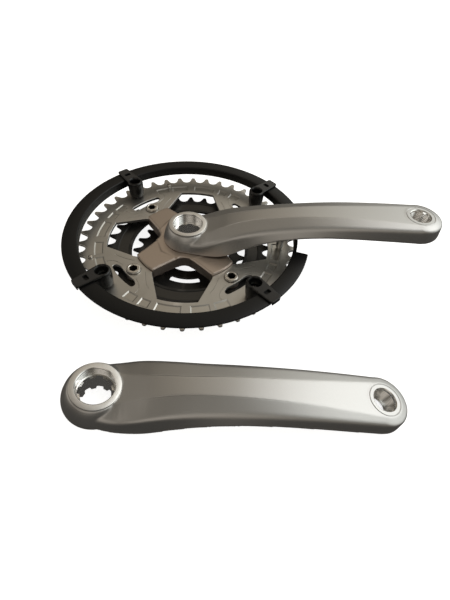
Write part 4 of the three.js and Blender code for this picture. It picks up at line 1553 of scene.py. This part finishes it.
@dataclass
class Studio:
    """Floor, lights and camera."""

    camera_place: tuple = (-0.011755, -0.191576, 0.222466)
    pitch: float = 51.371
    yaw: float = -0.381
    roll: float = 4.218
    lens: float = 21.943
    floor_glow: float = 0.85
    floor_bounce: float = 0.06
    backdrop: float = 1.0
    key_place: tuple = (0.9, 0.35, 1.1)
    key_size: float = 0.9
    key_power: float = 3.0
    # each patch: towards where, cosines of its soft edge, colour
    dim_room: tuple = ((0, 0, 1), (-1.0, -0.2), (0.125, 0.112, 0.092))
    patches: tuple = (
        ((0.00, 0.62, 0.78), (0.80, 0.985), (0.30, 0.262, 0.21)),
        ((0.87, 0.17, 0.47), (0.64, 0.96), (1.00, 1.05, 1.03)),
        ((0.38, 0.78, 0.50), (0.90, 0.99), (0.50, 0.52, 0.50)),
        ((-0.10, -0.85, 0.52), (0.82, 0.99), (0.42, 0.39, 0.35)),
        ((-0.90, -0.05, 0.42), (0.80, 0.98), (0.45, 0.42, 0.38)),
    )

    def mix_for_camera(self, tree: Tree, seen: Node, bounced: Node, output: str) -> None:
        """Shows the camera one shader and everything else another.

        Args:
            tree: The node tree.
            seen: The camera's shader.
            bounced: The shader that lights the object.
            output: Name of the tree's output node.
        """
        ray = tree.nodes.new("ShaderNodeLightPath").outputs["Is Camera Ray"]
        mix = add_node(tree, "MixShader", {"Fac": ray, 1: bounced.outputs[0], 2: seen.outputs[0]})
        feed(tree.nodes[output], {"Surface": mix.outputs[0]})

    def floor(self) -> None:
        """The plain pale floor, which glows to the camera and is dull to the object."""
        bm = bmesh.new()
        bmesh.ops.create_grid(bm, x_segments=1, y_segments=1, size=4.0)
        obj = bench_object(bm, "floor")
        material = bpy.data.materials.new("Floor paper")
        material.use_nodes = True
        obj.data.materials.append(material)
        tree = material.node_tree
        paper = feed(tree.nodes["Principled BSDF"], {
            "Base Color": (0.95, 0.95, 0.95, 1), "Roughness": 0.9, "Specular IOR Level": 0.1,
            "Emission Color": (1, 1, 1, 1), "Emission Strength": self.floor_glow,
        })
        dull = add_node(tree, "Emission", {"Color": (1.0, 0.96, 0.9, 1), "Strength": self.floor_bounce})
        self.mix_for_camera(tree, paper, dull, "Material Output")

    def key(self) -> None:
        """A soft square light over the pedal side."""
        data = bpy.data.lights.new("key", "AREA")
        data.size, data.energy = self.key_size, self.key_power
        obj = bpy.data.objects.new("key", data)
        obj.location = self.key_place
        obj.rotation_mode = "QUATERNION"
        obj.rotation_quaternion = (-Vector(self.key_place)).to_track_quat("-Z", "Y")
        bpy.context.scene.collection.objects.link(obj)

    def lobe(self, tree: Tree, towards: Sequence[float], edge: Point, colour: Sequence[float]) -> Socket:
        """A soft round patch of light in the room.

        Args:
            tree: The world's node tree.
            towards: Where its middle is.
            edge: Cosines from its middle where it begins and is full.
            colour: Its colour and brightness.

        Returns:
            The patch as a colour output.
        """
        direction = tree.nodes.new("ShaderNodeTexCoord").outputs["Generated"]
        axis = Vector(towards).normalized()
        dot = add_node(tree, "VectorMath", {0: direction, 1: axis}, operation="DOT_PRODUCT").outputs["Value"]
        span = {"Value": dot, "From Min": edge[0], "From Max": edge[1]}
        fade = add_node(tree, "MapRange", span, interpolation_type="SMOOTHSTEP")
        tinted = add_node(tree, "VectorMath", {0: colour, "Scale": fade.outputs["Result"]}, operation="SCALE")
        return tinted.outputs[0]

    def surroundings(self) -> None:
        """A dim warm room with a wide cool window on the pedal side."""
        world = bpy.data.worlds.new("Studio room")
        bpy.context.scene.world = world
        world.use_nodes = True
        tree = world.node_tree
        total = self.lobe(tree, *self.dim_room)
        for patch in self.patches:
            lit = {0: total, 1: self.lobe(tree, *patch)}
            total = add_node(tree, "VectorMath", lit, operation="ADD").outputs[0]
        room = feed(tree.nodes["Background"], {"Color": total})
        plain = add_node(tree, "Background", {"Color": (self.backdrop, self.backdrop, self.backdrop, 1)})
        self.mix_for_camera(tree, plain, room, "World Output")

    def camera(self) -> None:
        """The camera, above and in front of the object."""
        pitch, yaw, roll = (math.radians(a) for a in (self.pitch, self.yaw, self.roll))
        forward = Vector((math.sin(yaw) * math.cos(pitch), math.cos(yaw) * math.cos(pitch), -math.sin(pitch)))
        level = Vector((math.cos(yaw), -math.sin(yaw), 0))
        upright = level.cross(forward)
        right = level * math.cos(roll) + upright * math.sin(roll)
        up = upright * math.cos(roll) - level * math.sin(roll)
        data = bpy.data.cameras.new("camera")
        data.lens = self.lens
        data.clip_start = 0.01
        obj = bpy.data.objects.new("camera", data)
        turn = Matrix((right, up, -forward)).transposed().to_4x4()
        obj.matrix_world = Matrix.Translation(self.camera_place) @ turn
        bpy.context.scene.collection.objects.link(obj)
        bpy.context.scene.camera = obj

    def build(self) -> None:
        """Sets up the studio."""
        self.floor()
        self.surroundings()
        self.key()
        self.camera()
        bpy.context.scene.view_settings.view_transform = "Standard"


def main() -> None:
    """Builds the crankset and its studio."""
    logging.basicConfig(level=logging.INFO, format="%(name)s %(message)s")
    Studio().build()
    OuterChainring("outer_chainring", 42, 0.0, 2.4, RING_STEEL, RING_PANEL, Slot.RING).build()
    MiddleChainring("middle_chainring", 32, -7.9, 2.0, BLACK_STEEL, GREY_STEEL_AND_HIGHLIGHT, Slot.DARK_RING).build()
    InnerChainring("inner_chainring", 22, -15.6, 2.0, BLACK_STEEL, GREY_STEEL_AND_HIGHLIGHT, Slot.DARK_RING).build()
    Spider().build()
    ChainGuard().build()
    Fasteners().build()
    SpiderArm("right_crank_arm", Body.RIGHT, right_arm_datum(), RIGHT_RIM).build()
    CrankArm("left_crank_arm", Body.LEFT, left_arm_datum(), LEFT_RIM).build()


if __name__ == "__main__":
    main()
